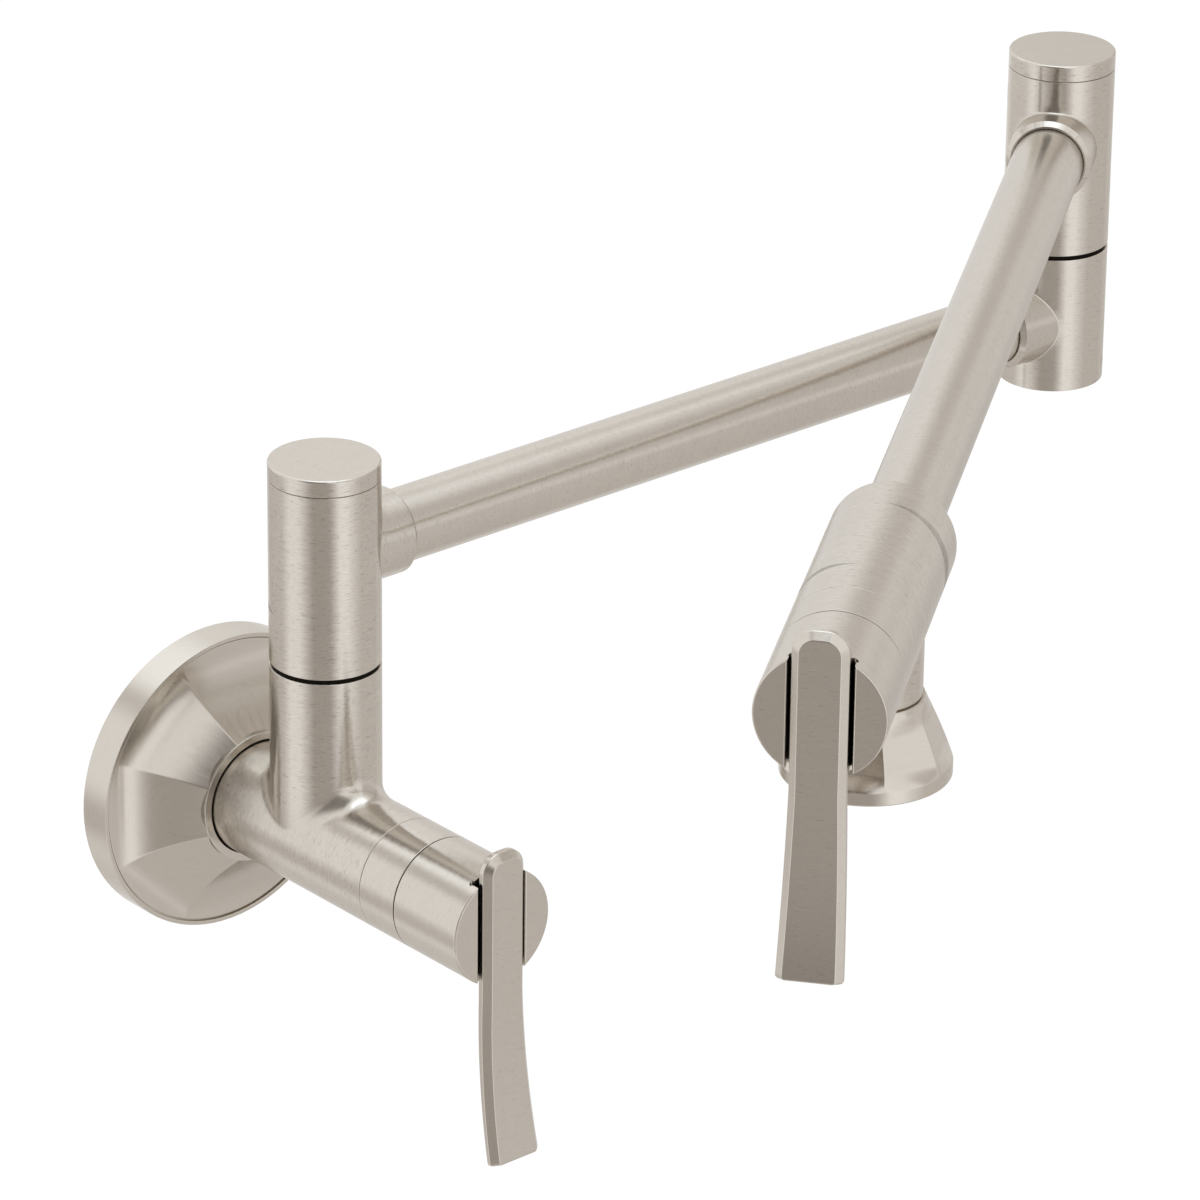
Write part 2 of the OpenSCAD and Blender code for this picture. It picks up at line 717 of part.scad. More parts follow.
module spout_body() {
    color(nickel) at_spout_valve() difference() {
        union() {
            translate([0, 0, -shoulder_reach])
                shouldered_bar(body_d, shoulder_reach + spout_valve_reach, shoulder_round);
            facing_room() cylinder(d = drop_d, h = drop_l);
        }
        translate([0, 0, -shoulder_reach - over]) cylinder(d = arm_d, h = spout_socket_l + over);
        translate([0, 0, -shoulder_reach]) cylinder(d = water_d, h = shoulder_reach);
        valve_bores(spout_valve_reach);
        facing_room() cylinder(d = nozzle_water_d, h = drop_l + over);
        facing_room() translate([0, 0, drop_l - spigot_l]) cylinder(d = spigot_d, h = spigot_l + over);
    }
}

module spout_cartridge_seal() { at_spout_valve() cartridge_seal(); }
module spout_fixed_disc() { at_spout_valve() ceramic_disc(shell_z, disc_d); }
module spout_cartridge() { at_spout_valve() cartridge(spout_valve_reach); }
module spout_cartridge_nut() { at_spout_valve() cartridge_nut(spout_valve_reach); }
module spout_trim_ring() { at_spout_valve() trim_ring(spout_valve_reach); }
module spout_glide_washer() { at_spout_valve() glide_washer(spout_valve_reach); }
module spout_moving_disc() {
    at_spout_valve() rotate([0, 0, quarter_turn]) ceramic_disc(moving_disc_z, turning_d);
}
module spout_stem() { at_spout_valve() stem(spout_valve_reach); }
module spout_handle_hub() { at_spout_valve() handle_hub(spout_valve_reach); }
module spout_lever() { at_spout_valve() lever(spout_valve_reach); }
module spout_set_screw() { at_spout_valve() set_screw(spout_valve_reach); }

// Nozzle pieces, drawn with z = 0 at the lower end of the drop tube

function bell_r(u) = bell_neck_d / 2 + (bell_foot_r - bell_neck_d / 2) * (1 - pow(1 - u, bell_curve));
function bell_z(u) = -(bell_h - bell_band_h) * u;

module bell() {
    levels = len(bell_level_shares) - 1;
    loops = [
        for (k = [levels : -1 : 0])
            let (u = bell_level_shares[k],
                 press = facet_press(u, bell_crease_in_shares, bell_crease_out_shares))
            facet_loop(bell_r(u), bell_z(u), press)
    ];
    skin(concat([facet_loop(bell_r(1), -bell_h + bell_band_h / 2, 0)], loops));
}

module nozzle() {
    color(nickel) at_drop_end() difference() {
        union() {
            bell();
            translate([0, 0, -bell_h]) beveled_bar(bell_rim_d, bell_band_h, 2 * edge, 0);
            translate([0, 0, -over]) cylinder(d = spigot_d, h = spigot_l + over);
        }
        translate([0, 0, -bell_h]) cylinder(d = nozzle_water_d, h = bell_h + spigot_l + over);
        translate([0, 0, -bell_h - over]) cylinder(d = mouth_d, h = mouth_h + over);
        translate([0, 0, aerator_z]) cylinder(d = aerator_d, h = aerator_h + aerator_washer_h);
    }
}

module aerator_housing() {
    color(steel) at_drop_end() translate([0, 0, aerator_z]) difference() {
        cylinder(d = aerator_d, h = aerator_h);
        translate([0, 0, aerator_lip_h]) cylinder(d = aerator_bore_d, h = aerator_h);
        translate([0, 0, -over]) cylinder(d = aerator_lip_d, h = aerator_h);
    }
}

module aerator_washer() {
    color(rubber) at_drop_end() translate([0, 0, aerator_z + aerator_h])
        ring(aerator_d, aerator_washer_bore, aerator_washer_h);
}

module screen_hole(out, turn) {
    rotate([0, 0, turn]) translate([out, 0, -over]) cylinder(d = screen_hole_d, h = screen_h + 2 * over);
}

module aerator_screen() {
    color(steel) at_drop_end() translate([0, 0, aerator_z + aerator_lip_h]) difference() {
        cylinder(d = aerator_bore_d, h = screen_h);
        screen_hole(0, 0);
        for (row = [1 : screen_rings], k = [0 : row * screen_holes_per_ring - 1])
            screen_hole(row * screen_pitch, k * 360 / (row * screen_holes_per_ring));
    }
}

wall_flange();
flange_o_ring();
wall_body();
wall_swivel_post();
wall_post_o_rings();
wall_bearing_washer();
wall_retaining_nut();
wall_cartridge_seal();
wall_fixed_disc();
wall_cartridge();
wall_cartridge_nut();
wall_trim_ring();
wall_glide_washer();
wall_moving_disc();
wall_stem();
wall_handle_hub();
wall_lever();
wall_set_screw();
wall_swivel_barrel();
wall_column_cap();
inner_arm_tube();
elbow_lower_barrel();
elbow_swivel_post();
elbow_post_o_rings();
elbow_bearing_washer();
elbow_retaining_nut();
elbow_upper_barrel();
elbow_cap();
outer_arm_tube();
spout_body();
spout_cartridge_seal();
spout_fixed_disc();
spout_cartridge();
spout_cartridge_nut();
spout_trim_ring();
spout_glide_washer();
spout_moving_disc();
spout_stem();
spout_handle_hub();
spout_lever();
spout_set_screw();
nozzle();
aerator_washer();
aerator_housing();
aerator_screen();
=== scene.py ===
import json
import math

import bmesh
import bpy
from mathutils import Matrix, Vector


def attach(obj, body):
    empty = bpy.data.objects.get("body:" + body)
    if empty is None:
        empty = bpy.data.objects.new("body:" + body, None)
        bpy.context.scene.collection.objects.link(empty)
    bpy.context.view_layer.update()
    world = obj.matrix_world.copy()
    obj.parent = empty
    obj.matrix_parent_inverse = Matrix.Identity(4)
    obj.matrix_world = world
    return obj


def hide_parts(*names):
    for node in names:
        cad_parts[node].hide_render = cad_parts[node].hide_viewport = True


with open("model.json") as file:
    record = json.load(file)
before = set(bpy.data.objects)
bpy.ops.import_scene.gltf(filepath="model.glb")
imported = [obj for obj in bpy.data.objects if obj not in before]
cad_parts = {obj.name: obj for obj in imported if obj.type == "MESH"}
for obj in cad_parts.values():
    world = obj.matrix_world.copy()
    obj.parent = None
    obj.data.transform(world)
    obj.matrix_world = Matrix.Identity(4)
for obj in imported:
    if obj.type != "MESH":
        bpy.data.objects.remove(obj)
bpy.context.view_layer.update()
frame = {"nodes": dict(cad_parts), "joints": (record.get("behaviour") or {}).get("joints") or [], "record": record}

bl_info = {
    "name": "Pot Filler",
    "version": (1, 0, 0),
    "blender": (4, 5, 0),
    "location": "View3D > Sidebar > Pot Filler",
    "description": "Dresses a wall pot filler's frame in brushed nickel and sets up its studio",
    "category": "Object",
}

JOINTS = {joint["name"]: joint for joint in frame["joints"]}
MM = 0.001
UP = Vector((0, 0, 1))
INTO_ROOM = Vector(JOINTS["wall_lever_turn"]["axis"])
OUTER_ARM = Vector(JOINTS["spout_lever_turn"]["axis"]).normalized()
COLUMN = Vector(JOINTS["wall_swivel"]["pos_m"])
ELBOW = Vector(JOINTS["elbow_swivel"]["pos_m"])
SPOUT = Vector(JOINTS["spout_lever_turn"]["pos_m"])
INLET = Vector((0, 0, 0))
TEE = Vector((COLUMN.x, COLUMN.y, INLET.z))
ELBOW_LOW = Vector((ELBOW.x, ELBOW.y, COLUMN.z))
INNER_ARM = (ELBOW_LOW - COLUMN).normalized()


def size(what, of, default):
    """A length, named for what it measures and on which piece."""
    return bpy.props.FloatProperty(
        name=of.capitalize() + ": " + what, description=what.capitalize() + " of the " + of,
        default=default, min=0.0, unit="LENGTH", precision=5)


def number(name, description, default, low=0.0, high=10.0):
    return bpy.props.FloatProperty(
        name=name, description=description, default=default, min=low, max=high)


def turn(name, description, default):
    return bpy.props.FloatProperty(
        name=name, description=description, default=math.radians(default), subtype="ANGLE")


def colour(name, description, default):
    return bpy.props.FloatVectorProperty(
        name=name, description=description, default=default, size=3, min=0.0, max=1.0,
        subtype="COLOR")


class PotFillerSizes(bpy.types.PropertyGroup):
    edge: size("rounding", "outer edges", 0.0002)
    seam_edge: size("rounding", "seam edges", 0.00012)
    flange_d: size("diameter", "wall flange", 0.0804)
    rim_h: size("depth", "flange's round rim", 0.0094)
    rim_lip: size("width", "rim's front lip", 0.0011)
    rim_step: size("height", "rim's lip over the facets", 0.0005)
    rim_groove_w: size("width", "groove inside the lip", 0.00035)
    rim_groove_h: size("depth", "groove inside the lip", 0.0011)
    flange_h: size("depth", "flange up to its neck ring", 0.022)
    flange_neck_h: size("length", "flange's bore", 0.0065)
    neck_ring_d: size("diameter", "flange's neck ring", 0.0356)
    neck_ring_h: size("height", "neck ring over the facets", 0.00025)
    neck_bore_d: size("diameter", "flange's bore", 0.0314)
    flange_wall: size("thickness", "flange's wall", 0.0013)
    body_d: size("diameter", "valve bodies", 0.0306)
    wall_reach: size("reach", "wall valve body in front of its column", 0.0319)
    tee_blend: size("radius", "blend between column and body", 0.006)
    inlet_d: size("diameter", "threaded inlet", 0.0192)
    inlet_l: size("depth", "threaded inlet", 0.014)
    thread_pitch: size("pitch", "inlet's thread", 0.001814)
    thread_h: size("depth", "inlet's thread", 0.0007)
    nut_seat_d: size("diameter", "cartridge nut's seat", 0.0252)
    nut_seat_l: size("depth", "cartridge nut's seat", 0.01)
    chamber_d: size("diameter", "cartridge chamber", 0.0208)
    chamber_back: size("depth", "cartridge chamber behind the branch's axis", 0.013)
    water_d: size("diameter", "waterways", 0.012)
    column_d: size("diameter", "columns", 0.0286)
    stub_h: size("height", "fixed column over the inlet's axis", 0.0481)
    barrel_h: size("height", "swivel barrels", 0.0496)
    arm_drop: size("drop", "arm below the top of its barrel", 0.0201)
    elbow_h: size("height", "lower elbow barrel", 0.0381)
    elbow_lift: size("lift", "arm over the lower elbow's underside", 0.0183)
    cap_h: size("height", "column caps", 0.0046)
    cap_plug_h: size("length", "cap's plug", 0.003)
    cap_groove_w: size("width", "groove below a cap", 0.0002)
    groove_h: size("depth", "grooves between two pieces", 0.0004)
    cap_round: size("rounding", "cap's top edge", 0.0005)
    post_d: size("diameter", "swivel posts", 0.0168)
    post_bore: size("bore", "swivel posts", 0.0096)
    post_seat: size("depth", "post's seat", 0.012)
    barrel_bore: size("bore", "swivel barrels", 0.0169)
    pocket_d: size("diameter", "retaining nut's pocket", 0.022)
    pocket_h: size("depth", "retaining nut's pocket", 0.009)
    ring_chamber_d: size("diameter", "water chamber round a post", 0.021)
    ring_chamber_h: size("height", "water chamber round a post", 0.012)
    joint_blend: size("radius", "blend between barrel and collar", 0.0006)
    collar_d: size("diameter", "collar round an arm", 0.0228)
    collar_reach: size("reach", "collar from the column's axis", 0.0216)
    collar_bevel: size("bevel", "collar's end", 0.0012)
    recess_w: size("width", "fine recess round a tube", 0.0002)
    recess_l: size("depth", "fine recess round a tube", 0.0008)
    socket_d: size("bore", "arm sockets", 0.01906)
    socket_start: size("start", "arm sockets from the column's axis", 0.0128)
    spout_reach: size("reach", "spout valve body in front of the nozzle", 0.0307)
    shoulder_reach: size("reach", "spout valve body behind the nozzle", 0.0319)
    shoulder_round: size("rounding", "spout valve body's rear edge", 0.0018)
    spout_socket_l: size("depth", "outer arm's socket", 0.012)
    drop_d: size("diameter", "drop tube", 0.0256)
    drop_l: size("length", "drop tube below the arm's axis", 0.0243)
    drop_blend: size("radius", "blend round the drop tube", 0.0008)
    spigot_d: size("diameter", "nozzle's spigot", 0.018)
    spigot_l: size("length", "nozzle's spigot", 0.008)
    trim_l: size("length", "trim rings", 0.0132)
    trim_plate: size("thickness", "trim ring's front plate", 0.002)
    trim_bore: size("bore", "trim ring's front plate", 0.0092)
    trim_groove_w: size("width", "groove behind a trim ring", 0.00012)
    gap_trim: size("reach", "ring and hub into the handle gap", 0.00012)
    handle_gap: size("width", "gap between a trim ring and its handle", 0.0006)
    hub_l: size("length", "handle hubs", 0.0237)
    hub_edge: size("rounding", "hub's edges", 0.00047)
    hub_bore: size("bore", "hub round its stem", 0.008)
    hub_bore_l: size("depth", "hub's bore", 0.013)
    screw_d: size("diameter", "set screw's hole", 0.004)
    screw_z: size("place", "set screw from the back of its hub", 0.007)
    slot_gap: size("width", "gap on each side of a lever", 0.001)
    slot_depth: size("depth", "lever's slot", 0.0029)
    relief_d: size("diameter", "slot's corner reliefs", 0.0015)
    bell_neck_d: size("diameter", "bell's neck", 0.0268)
    bell_rim_d: size("diameter", "bell's rim", 0.0406)
    bell_h: size("height", "bell nozzle", 0.0203)
    bell_band_h: size("height", "bell's round rim band", 0.0032)
    bell_seam_d: size("diameter", "seam above the bell", 0.0244)
    bell_seam_h: size("height", "seam above the bell", 0.00035)
    mouth_d: size("diameter", "recess round the aerator", 0.035)
    mouth_h: size("depth", "recess round the aerator", 0.005)
    aerator_d: size("diameter", "aerator's seat", 0.0246)
    aerator_top: size("depth", "aerator's seat below the drop tube", 0.0069)
    lever_w: size("width", "lever at its hub", 0.0131)
    tip_w: size("width", "lever at its tip", 0.0157)
    lever_t: size("thickness", "lever at its hub", 0.0034)
    tip_t: size("thickness", "lever at its tip", 0.003)
    tip_round: size("rounding", "lever's tip corners", 0.0009)
    lever_rise: size("rise", "lever above its valve's axis", 0.0212)
    lever_drop: size("drop", "lever below its valve's axis", 0.0624)
    sweep_start: size("start", "lever's forward sweep below the axis", 0.0184)
    sweep_r: size("radius", "lever's forward sweep", 0.2)
    lever_proud: size("rise", "lever over its hub's face", 0.0021)
    lever_bevel: size("bevel", "lever's front edges", 0.00175)
    lever_edge: size("rounding", "lever's edges", 0.00036)
    lever_corner: size("radius", "lever's top corners", 0.0054)


class PotFillerFinish(bpy.types.PropertyGroup):
    nickel: colour("Nickel", "Colour of the brushed nickel", (0.66, 0.615, 0.555))
    brass: colour("Brass", "Colour of the inner brass pieces", (0.80, 0.62, 0.32))
    steel: colour("Steel", "Colour of the stainless pieces", (0.60, 0.60, 0.61))
    rubber: colour("Rubber", "Colour of the seals", (0.025, 0.025, 0.026))
    edge_tint: colour("Edge tint", "Tint of the nickel's glancing reflection", (0.88, 0.87, 0.86))
    black_plastic: colour("Plastic", "Colour of the bearing washers", (0.010, 0.007, 0.005))
    ceramic: colour("Ceramic", "Colour of the valve discs", (0.86, 0.85, 0.80))
    roughness: number("Roughness", "Roughness of the brushed nickel", 0.21, 0.0, 1.0)
    ripple: number("Ripple", "Waviness that the brushing leaves along its way", 0.02, 0.0, 1.0)
    anisotropy: number("Brushing", "How far the brushing draws out reflections", 0.75, 0.0, 1.0)
    streak_w: size("width", "brushing streaks", 0.00026)
    streak_l: size("length", "brushing streaks", 0.0019)


class PotFillerStudio(bpy.types.PropertyGroup):
    azimuth: turn("Camera azimuth", "Direction of the camera round the part", -41.14)
    elevation: turn("Camera elevation", "Height angle of the camera", 24.34)
    roll: turn("Camera roll", "Turn of the camera about its own axis", 0.66)
    distance: size("distance", "camera from its target", 1.8242)
    target: bpy.props.FloatVectorProperty(
        name="Camera target", description="Point that the camera looks at",
        default=(0.10504, -0.03421, 0.02946), size=3, subtype="XYZ", unit="LENGTH")
    lens: number("Lens", "Focal length of the camera in millimetres", 207.32, 10.0, 500.0)
    floor_drop: size("drop", "floor below the wall inlet", 1.35)
    floor: colour("Floor", "Colour of the floor", (0.90, 0.90, 0.90))
    card_distance: size("distance", "farthest reflector card", 2.2)
    card_step: size("step", "reflector cards from one to the next", 0.02)
    world_level: number("Room light", "Strength of the even room light", 0.75)
    key_power: number("Key lamp", "Power of the large soft lamp in watts", 9.0, 0.0, 1000.0)


# Shapes

STRAIGHT = math.radians(172)
LEG_SHARE = 0.45
WELD = 0.0002 * MM
BLEND_STEP = 0.4 * MM
SMOOTH = math.radians(35)
SMOOTH_CUT = math.radians(16)

# How far the patch round a branch reaches along its bar, its rows, and the branch's last straight
WALL_PATCH, SPOUT_PATCH, BARREL_PATCH = 24 * MM, 18 * MM, 15 * MM
PATCH_ROWS = 22
BRANCH_SIDE = 1.2 * MM


def ease(start, end, x):
    t = min(1.0, max(0.0, (x - start) / (end - start)))
    return t * t * (3 - 2 * t)


def settings():
    return bpy.context.scene.pot_filler_sizes, bpy.context.scene.pot_filler_finish


def frame_at(origin, y_way, z_way):
    """Matrix that carries a piece's own drawing frame to its place."""
    matrix = Matrix((y_way.cross(z_way), y_way, z_way)).transposed().to_4x4()
    matrix.translation = origin
    return matrix


def fillet(points, radius, steps=4):
    """The open outline with rounded corners. A third number in a point is its own radius."""
    rounded = [tuple(points[0][:2])]
    for before, here, after in zip(points, points[1:], points[2:]):
        a, p, b = Vector(before[:2]), Vector(here[:2]), Vector(after[:2])
        own = here[2] if len(here) > 2 else radius
        u, v = (a - p).normalized(), (b - p).normalized()
        angle = u.angle(v)
        if angle > STRAIGHT or own == 0:
            rounded.append(tuple(p))
            continue
        leg = min(own / math.tan(angle / 2), LEG_SHARE * min((a - p).length, (b - p).length))
        r = leg * math.tan(angle / 2)
        centre = p + (u + v).normalized() * (r / math.sin(angle / 2))
        start, end = p + u * leg - centre, p + v * leg - centre
        sweep = start.angle_signed(end)
        for k in range(steps + 1):
            rounded.append(tuple(centre + Matrix.Rotation(-sweep * k / steps, 2) @ start))
    rounded.append(tuple(points[-1][:2]))
    return rounded


def braced(points, near=0.08 * MM):
    """The outline with more points near the ends of long legs, so that flat faces look flat."""
    out = [points[0]]
    for start, end in zip(points, points[1:]):
        a, b = Vector(start), Vector(end)
        if (b - a).length > 4 * near:
            step = (b - a).normalized() * near
            out += [tuple(a + step), tuple(b - step)]
        out.append(end)
    return out


def turned(outline, around=240):
    """Loops of an outline of radius and height turned round z."""
    turns = [2 * math.pi * j / around for j in range(around)]
    return [[(r * math.cos(t), r * math.sin(t), z) for t in turns] for r, z in outline]


def skin(loops, closed=False):
    """Points and faces over loops of equal length. The last loop joins the first if closed."""
    n = len(loops[0])
    count = len(loops)
    faces = []
    for i in range(count if closed else count - 1):
        low, high = i * n, ((i + 1) % count) * n
        faces += [(low + j, low + (j + 1) % n, high + (j + 1) % n, high + j) for j in range(n)]
    return [p for loop in loops for p in loop], faces


def tee(main_r, branch_r, blend, patch, branch, main, around=360):
    """Points and faces of a bar along y with a branch along z and a rolled blend between them.

    branch and main are outlines of radius and place. branch runs from its bore out to its end and
    back to its side, main from its side at patch round its front, bores and rear to its side at
    -patch. A radius may be a function of the angle round the bar.
    """
    reach, shell = branch_r + blend, main_r + blend
    turns = [2 * math.pi * j / around for j in range(around)]
    balls = [Vector((reach * math.cos(t), reach * math.sin(t),
                     math.sqrt(shell ** 2 - (reach * math.cos(t)) ** 2))) for t in turns]
    loops = turned(branch, around)
    start = branch[-1][1]
    for share in (1 / 3, 2 / 3, 1):
        loops.append([
            (branch_r * math.cos(t), branch_r * math.sin(t), start + (ball.z - start) * share)
            for t, ball in zip(turns, balls)])
    arc = max(5, round(blend / BLEND_STEP))
    for k in range(1, arc + 1):
        loop = []
        for t, ball in zip(turns, balls):
            to_branch = Vector((-math.cos(t), -math.sin(t), 0))
            to_main = Vector((-ball.x, 0, -ball.z)) / shell
            loop.append(tuple(ball + to_branch.slerp(to_main, k / arc) * blend))
        loops.append(loop)
    for k in range(1, PATCH_ROWS + 1):
        part = k / PATCH_ROWS
        loop = []
        for t, ball in zip(turns, balls):
            most = max(abs(math.cos(t)), abs(math.sin(t)))
            phi = math.asin(ball.x / shell) * (1 - part) + math.pi * math.cos(t) / most * part
            y = ball.y * (1 - part) + patch * math.sin(t) / most * part
            loop.append((main_r * math.sin(phi), y, main_r * math.cos(phi)))
        loops.append(loop)
    points, faces = skin(loops)
    phis = [math.pi * math.cos(t) / math.sin(t) for t in turns[around // 8:3 * around // 8 + 1]]
    base, m = len(points), len(phis)
    for radius, y in main:
        for phi in phis:
            r = radius(phi) if callable(radius) else radius
            points.append((r * math.sin(phi), y, r * math.cos(phi)))
    for i in range(len(main) - 1):
        for j in range(m - 1):
            a = base + i * m + j
            faces.append((a, a + 1, a + m + 1, a + m))
    return points, faces


def mark_edges(mesh, limit):
    """Smooth shading with sharp edges where the faces turn by more than the limit."""
    bm = bmesh.new()
    bm.from_mesh(mesh)
    bmesh.ops.remove_doubles(bm, verts=bm.verts, dist=WELD)
    bmesh.ops.delete(bm, geom=[edge for edge in bm.edges if not edge.link_faces], context="EDGES")
    bmesh.ops.recalc_face_normals(bm, faces=bm.faces)
    for face in bm.faces:
        face.smooth = True
    for edge in bm.edges:
        edge.smooth = not (edge.is_manifold and edge.calc_face_angle(0) > limit)
    bm.to_mesh(mesh)
    bm.free()
    mesh.validate()


def add_object(name, data):
    obj = bpy.data.objects.new(name, data)
    bpy.context.scene.collection.objects.link(obj)
    return obj


def add_mesh(name, points, faces):
    mesh = bpy.data.meshes.new(name)
    mesh.from_pydata(points, [], faces)
    return add_object(name, mesh)


def build(name, shape, place):
    """A new piece from its points and faces, drawn in its own frame and carried to its place."""
    points, faces = shape
    obj = add_mesh(name, [place @ Vector(p) for p in points], faces)
    mark_edges(obj.data, SMOOTH)
    return obj


def carve(obj, cutter):
    """Cut one piece's shape out of another, keep the faces flat and take the cutter away."""
    cut = obj.modifiers.new("Cut", "BOOLEAN")
    cut.operation = "DIFFERENCE"
    cut.solver = "EXACT"
    cut.object = cutter
    bpy.context.view_layer.update()
    now = bpy.context.evaluated_depsgraph_get()
    mesh = bpy.data.meshes.new_from_object(obj.evaluated_get(now))
    obj.modifiers.remove(cut)
    obj.data = mesh
    bpy.data.objects.remove(cutter)
    mark_edges(mesh, SMOOTH_CUT)


def nickel_name(piece):
    return piece.replace("_", " ") + " nickel"


def dress(obj, body, node, finish):
    """Let a piece ride on its body in place of a node, in its own nickel."""
    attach(obj, body)
    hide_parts(node)
    obj.data.materials.append(finish)
    return obj


# Facets of the flange and the bell

FACETS = 8
HALF_FACET = math.pi / FACETS
CREASE_OFFSETS = (0.35, 1.1, 2.4, 4.5, 7.5, 11.0, 14.5, 18.0)
FLANGE_CURVE = 1.7
FLANGE_FIRST = 0.015
BELL_PRESS_ON = 0.04, 0.34
BELL_PRESS_OFF = 0.76, 1
BELL_CURVE = 1.15
# Where the bell's flare starts, in seam heights
BELL_START = 1.6


def facet_angles():
    """Angles round a faceted piece, closer together at its creases."""
    angles = []
    for k in range(FACETS):
        crease = (2 * k + 1) * HALF_FACET
        for offset in CREASE_OFFSETS:
            angles += [crease - math.radians(offset), crease + math.radians(offset)]
        angles.append(2 * k * HALF_FACET)
    return sorted(a % (2 * math.pi) for a in angles)


def facet_reach(a):
    """How far a circle's point at angle a stands out over an octagon with the same corners."""
    off = (a + HALF_FACET) % (2 * HALF_FACET) - HALF_FACET
    return math.cos(off) / math.cos(HALF_FACET)


def facet_loop(r, z, angles, press=0.0):
    """A loop between a circle at press 0 and an octagon at press 1."""
    loop = []
    for a in angles:
        pressed = r * (1 - press * (1 - 1 / facet_reach(a)))
        loop.append((pressed * math.cos(a), pressed * math.sin(a), z))
    return loop


# Finishes

class Nodes:
    """Short hand for the node tree of a new material or world."""

    def __init__(self, name, group="materials"):
        self.owner = getattr(bpy.data, group).new(name)
        self.owner.use_nodes = True
        self.tree = self.owner.node_tree
        self.tree.nodes.clear()
        self.column = 0

    def add(self, kind, inputs=(), **settings):
        node = self.tree.nodes.new(kind)
        self.column += 180
        node.location = (self.column, 0)
        for key, value in settings.items():
            setattr(node, key, value)
        for key, value in dict(inputs).items():
            if isinstance(value, bpy.types.NodeSocket):
                self.tree.links.new(value, node.inputs[key])
            else:
                node.inputs[key].default_value = value
        return node

    def surface(self):
        """The place on a surface and its normal, both in the object's own axes."""
        outputs = self.add("ShaderNodeTexCoord").outputs
        return outputs["Object"], outputs["Normal"]

    def math(self, operation, *values):
        return self.add("ShaderNodeMath", enumerate(values), operation=operation).outputs[0]

    def times(self, a, b):
        return self.math("MULTIPLY", a, b)

    def plus(self, a, b):
        return self.math("ADD", a, b)

    def dot(self, a, b):
        return self.vector("DOT_PRODUCT", a, b)

    def vector(self, operation, *values):
        node = self.add("ShaderNodeVectorMath", enumerate(values), operation=operation)
        return node.outputs["Value" if operation in ("DOT_PRODUCT", "LENGTH") else "Vector"]

    def scale(self, vector, factor):
        return self.add(
            "ShaderNodeVectorMath", {0: vector, "Scale": factor}, operation="SCALE").outputs[0]

    def noise(self, vector, scale, detail=2.0, roughness=0.5):
        return self.add("ShaderNodeTexNoise", {
            "Vector": vector, "Scale": scale, "Detail": detail, "Roughness": roughness}).outputs[0]

    def ramp(self, value, low, high, to_low=0.0, to_high=1.0):
        return self.add("ShaderNodeMapRange", {
            "Value": value, "From Min": low, "From Max": high,
            "To Min": to_low, "To Max": to_high}).outputs[0]

    def spread(self, noise, depth, middle=0.0):
        """A noise's middle values spread by depth to both sides of the middle."""
        return self.ramp(noise, 0.3, 0.7, middle - depth, middle + depth)

    def mix(self, factor, a, b):
        """A vector between a and b."""
        return self.add("ShaderNodeMix", {0: factor, 4: a, 5: b}, data_type="VECTOR").outputs[1]

    def blend(self, factor, a, b):
        """A shader between a and b."""
        return self.add("ShaderNodeMixShader", {0: factor, 1: a, 2: b}).outputs[0]

    def tint(self, light, base):
        """A colour with its brightness varied."""
        values = {axis: self.times(light, value) for axis, value in zip("XYZ", base)}
        return self.add("ShaderNodeCombineXYZ", values).outputs[0]

    def to_world(self, kind, vector):
        return self.add("ShaderNodeVectorTransform", {"Vector": vector}, vector_type=kind,
                        convert_from="OBJECT", convert_to="WORLD").outputs[0]

    def finish(self, shader):
        self.add("ShaderNodeOutputMaterial", {"Surface": shader})
        return self.owner


def round_grain(nodes, place, origin, axis):
    """Brushing round an axis: its way, a place drawn out along it, and the radius."""
    sizes, finish = settings()
    local = nodes.vector("SUBTRACT", place, origin)
    along = nodes.dot(local, axis)
    spoke = nodes.vector("SUBTRACT", local, nodes.scale(axis, along))
    radius = nodes.vector("LENGTH", spoke)
    way = nodes.vector("NORMALIZE", nodes.vector("CROSS_PRODUCT", axis, spoke))
    ring = nodes.scale(nodes.vector("NORMALIZE", spoke), sizes.body_d / 2 / finish.streak_l)
    across = nodes.times(nodes.plus(along, radius), 1 / finish.streak_w)
    return way, nodes.vector("ADD", ring, nodes.scale(axis, across)), radius


def straight_grain(nodes, place, way, normal_way):
    """Straight brushing: a place drawn out along one way."""
    finish = settings()[1]
    grain = nodes.scale(way, nodes.times(nodes.dot(place, way), 1 / finish.streak_l))
    for across in (way.cross(normal_way), normal_way):
        grain = nodes.vector("ADD", grain, nodes.scale(
            across, nodes.times(nodes.dot(place, across), 1 / finish.streak_w)))
    return grain


# Where the painted shade in a slot sets in, in edge roundings behind its hub's front
SLOT_SHADE_FADE = (1.3, 4.0)
# Where face brushing takes over from round brushing, as the cosine of the face's lean
FACE_FADE = (0.8, 0.9)
# Where a branch's brushing takes over from its bar's, as a share of the blend
BRANCH_FADE = (0.08, 0.67)


def slot_shade_mask(nodes, place, face, axis, side):
    """Mask of painted shade: 1 inside a hub's slot, where little light gets in. face is the middle of the hub's
    front.
    """
    s = settings()[0]
    local = nodes.vector("SUBTRACT", place, face)
    half = s.lever_w / 2 + s.slot_gap
    high = math.sqrt((s.body_d / 2) ** 2 - half ** 2) - s.hub_edge
    inside = 1.0
    for way, limit in ((side, half + s.relief_d / 4 + s.hub_edge), (UP, high)):
        away = nodes.math("ABSOLUTE", nodes.dot(local, way))
        inside = nodes.times(inside, nodes.ramp(away, limit, limit - s.hub_edge))
    behind = (-share * s.hub_edge for share in SLOT_SHADE_FADE)
    return nodes.times(inside, nodes.ramp(nodes.dot(local, axis), *behind))


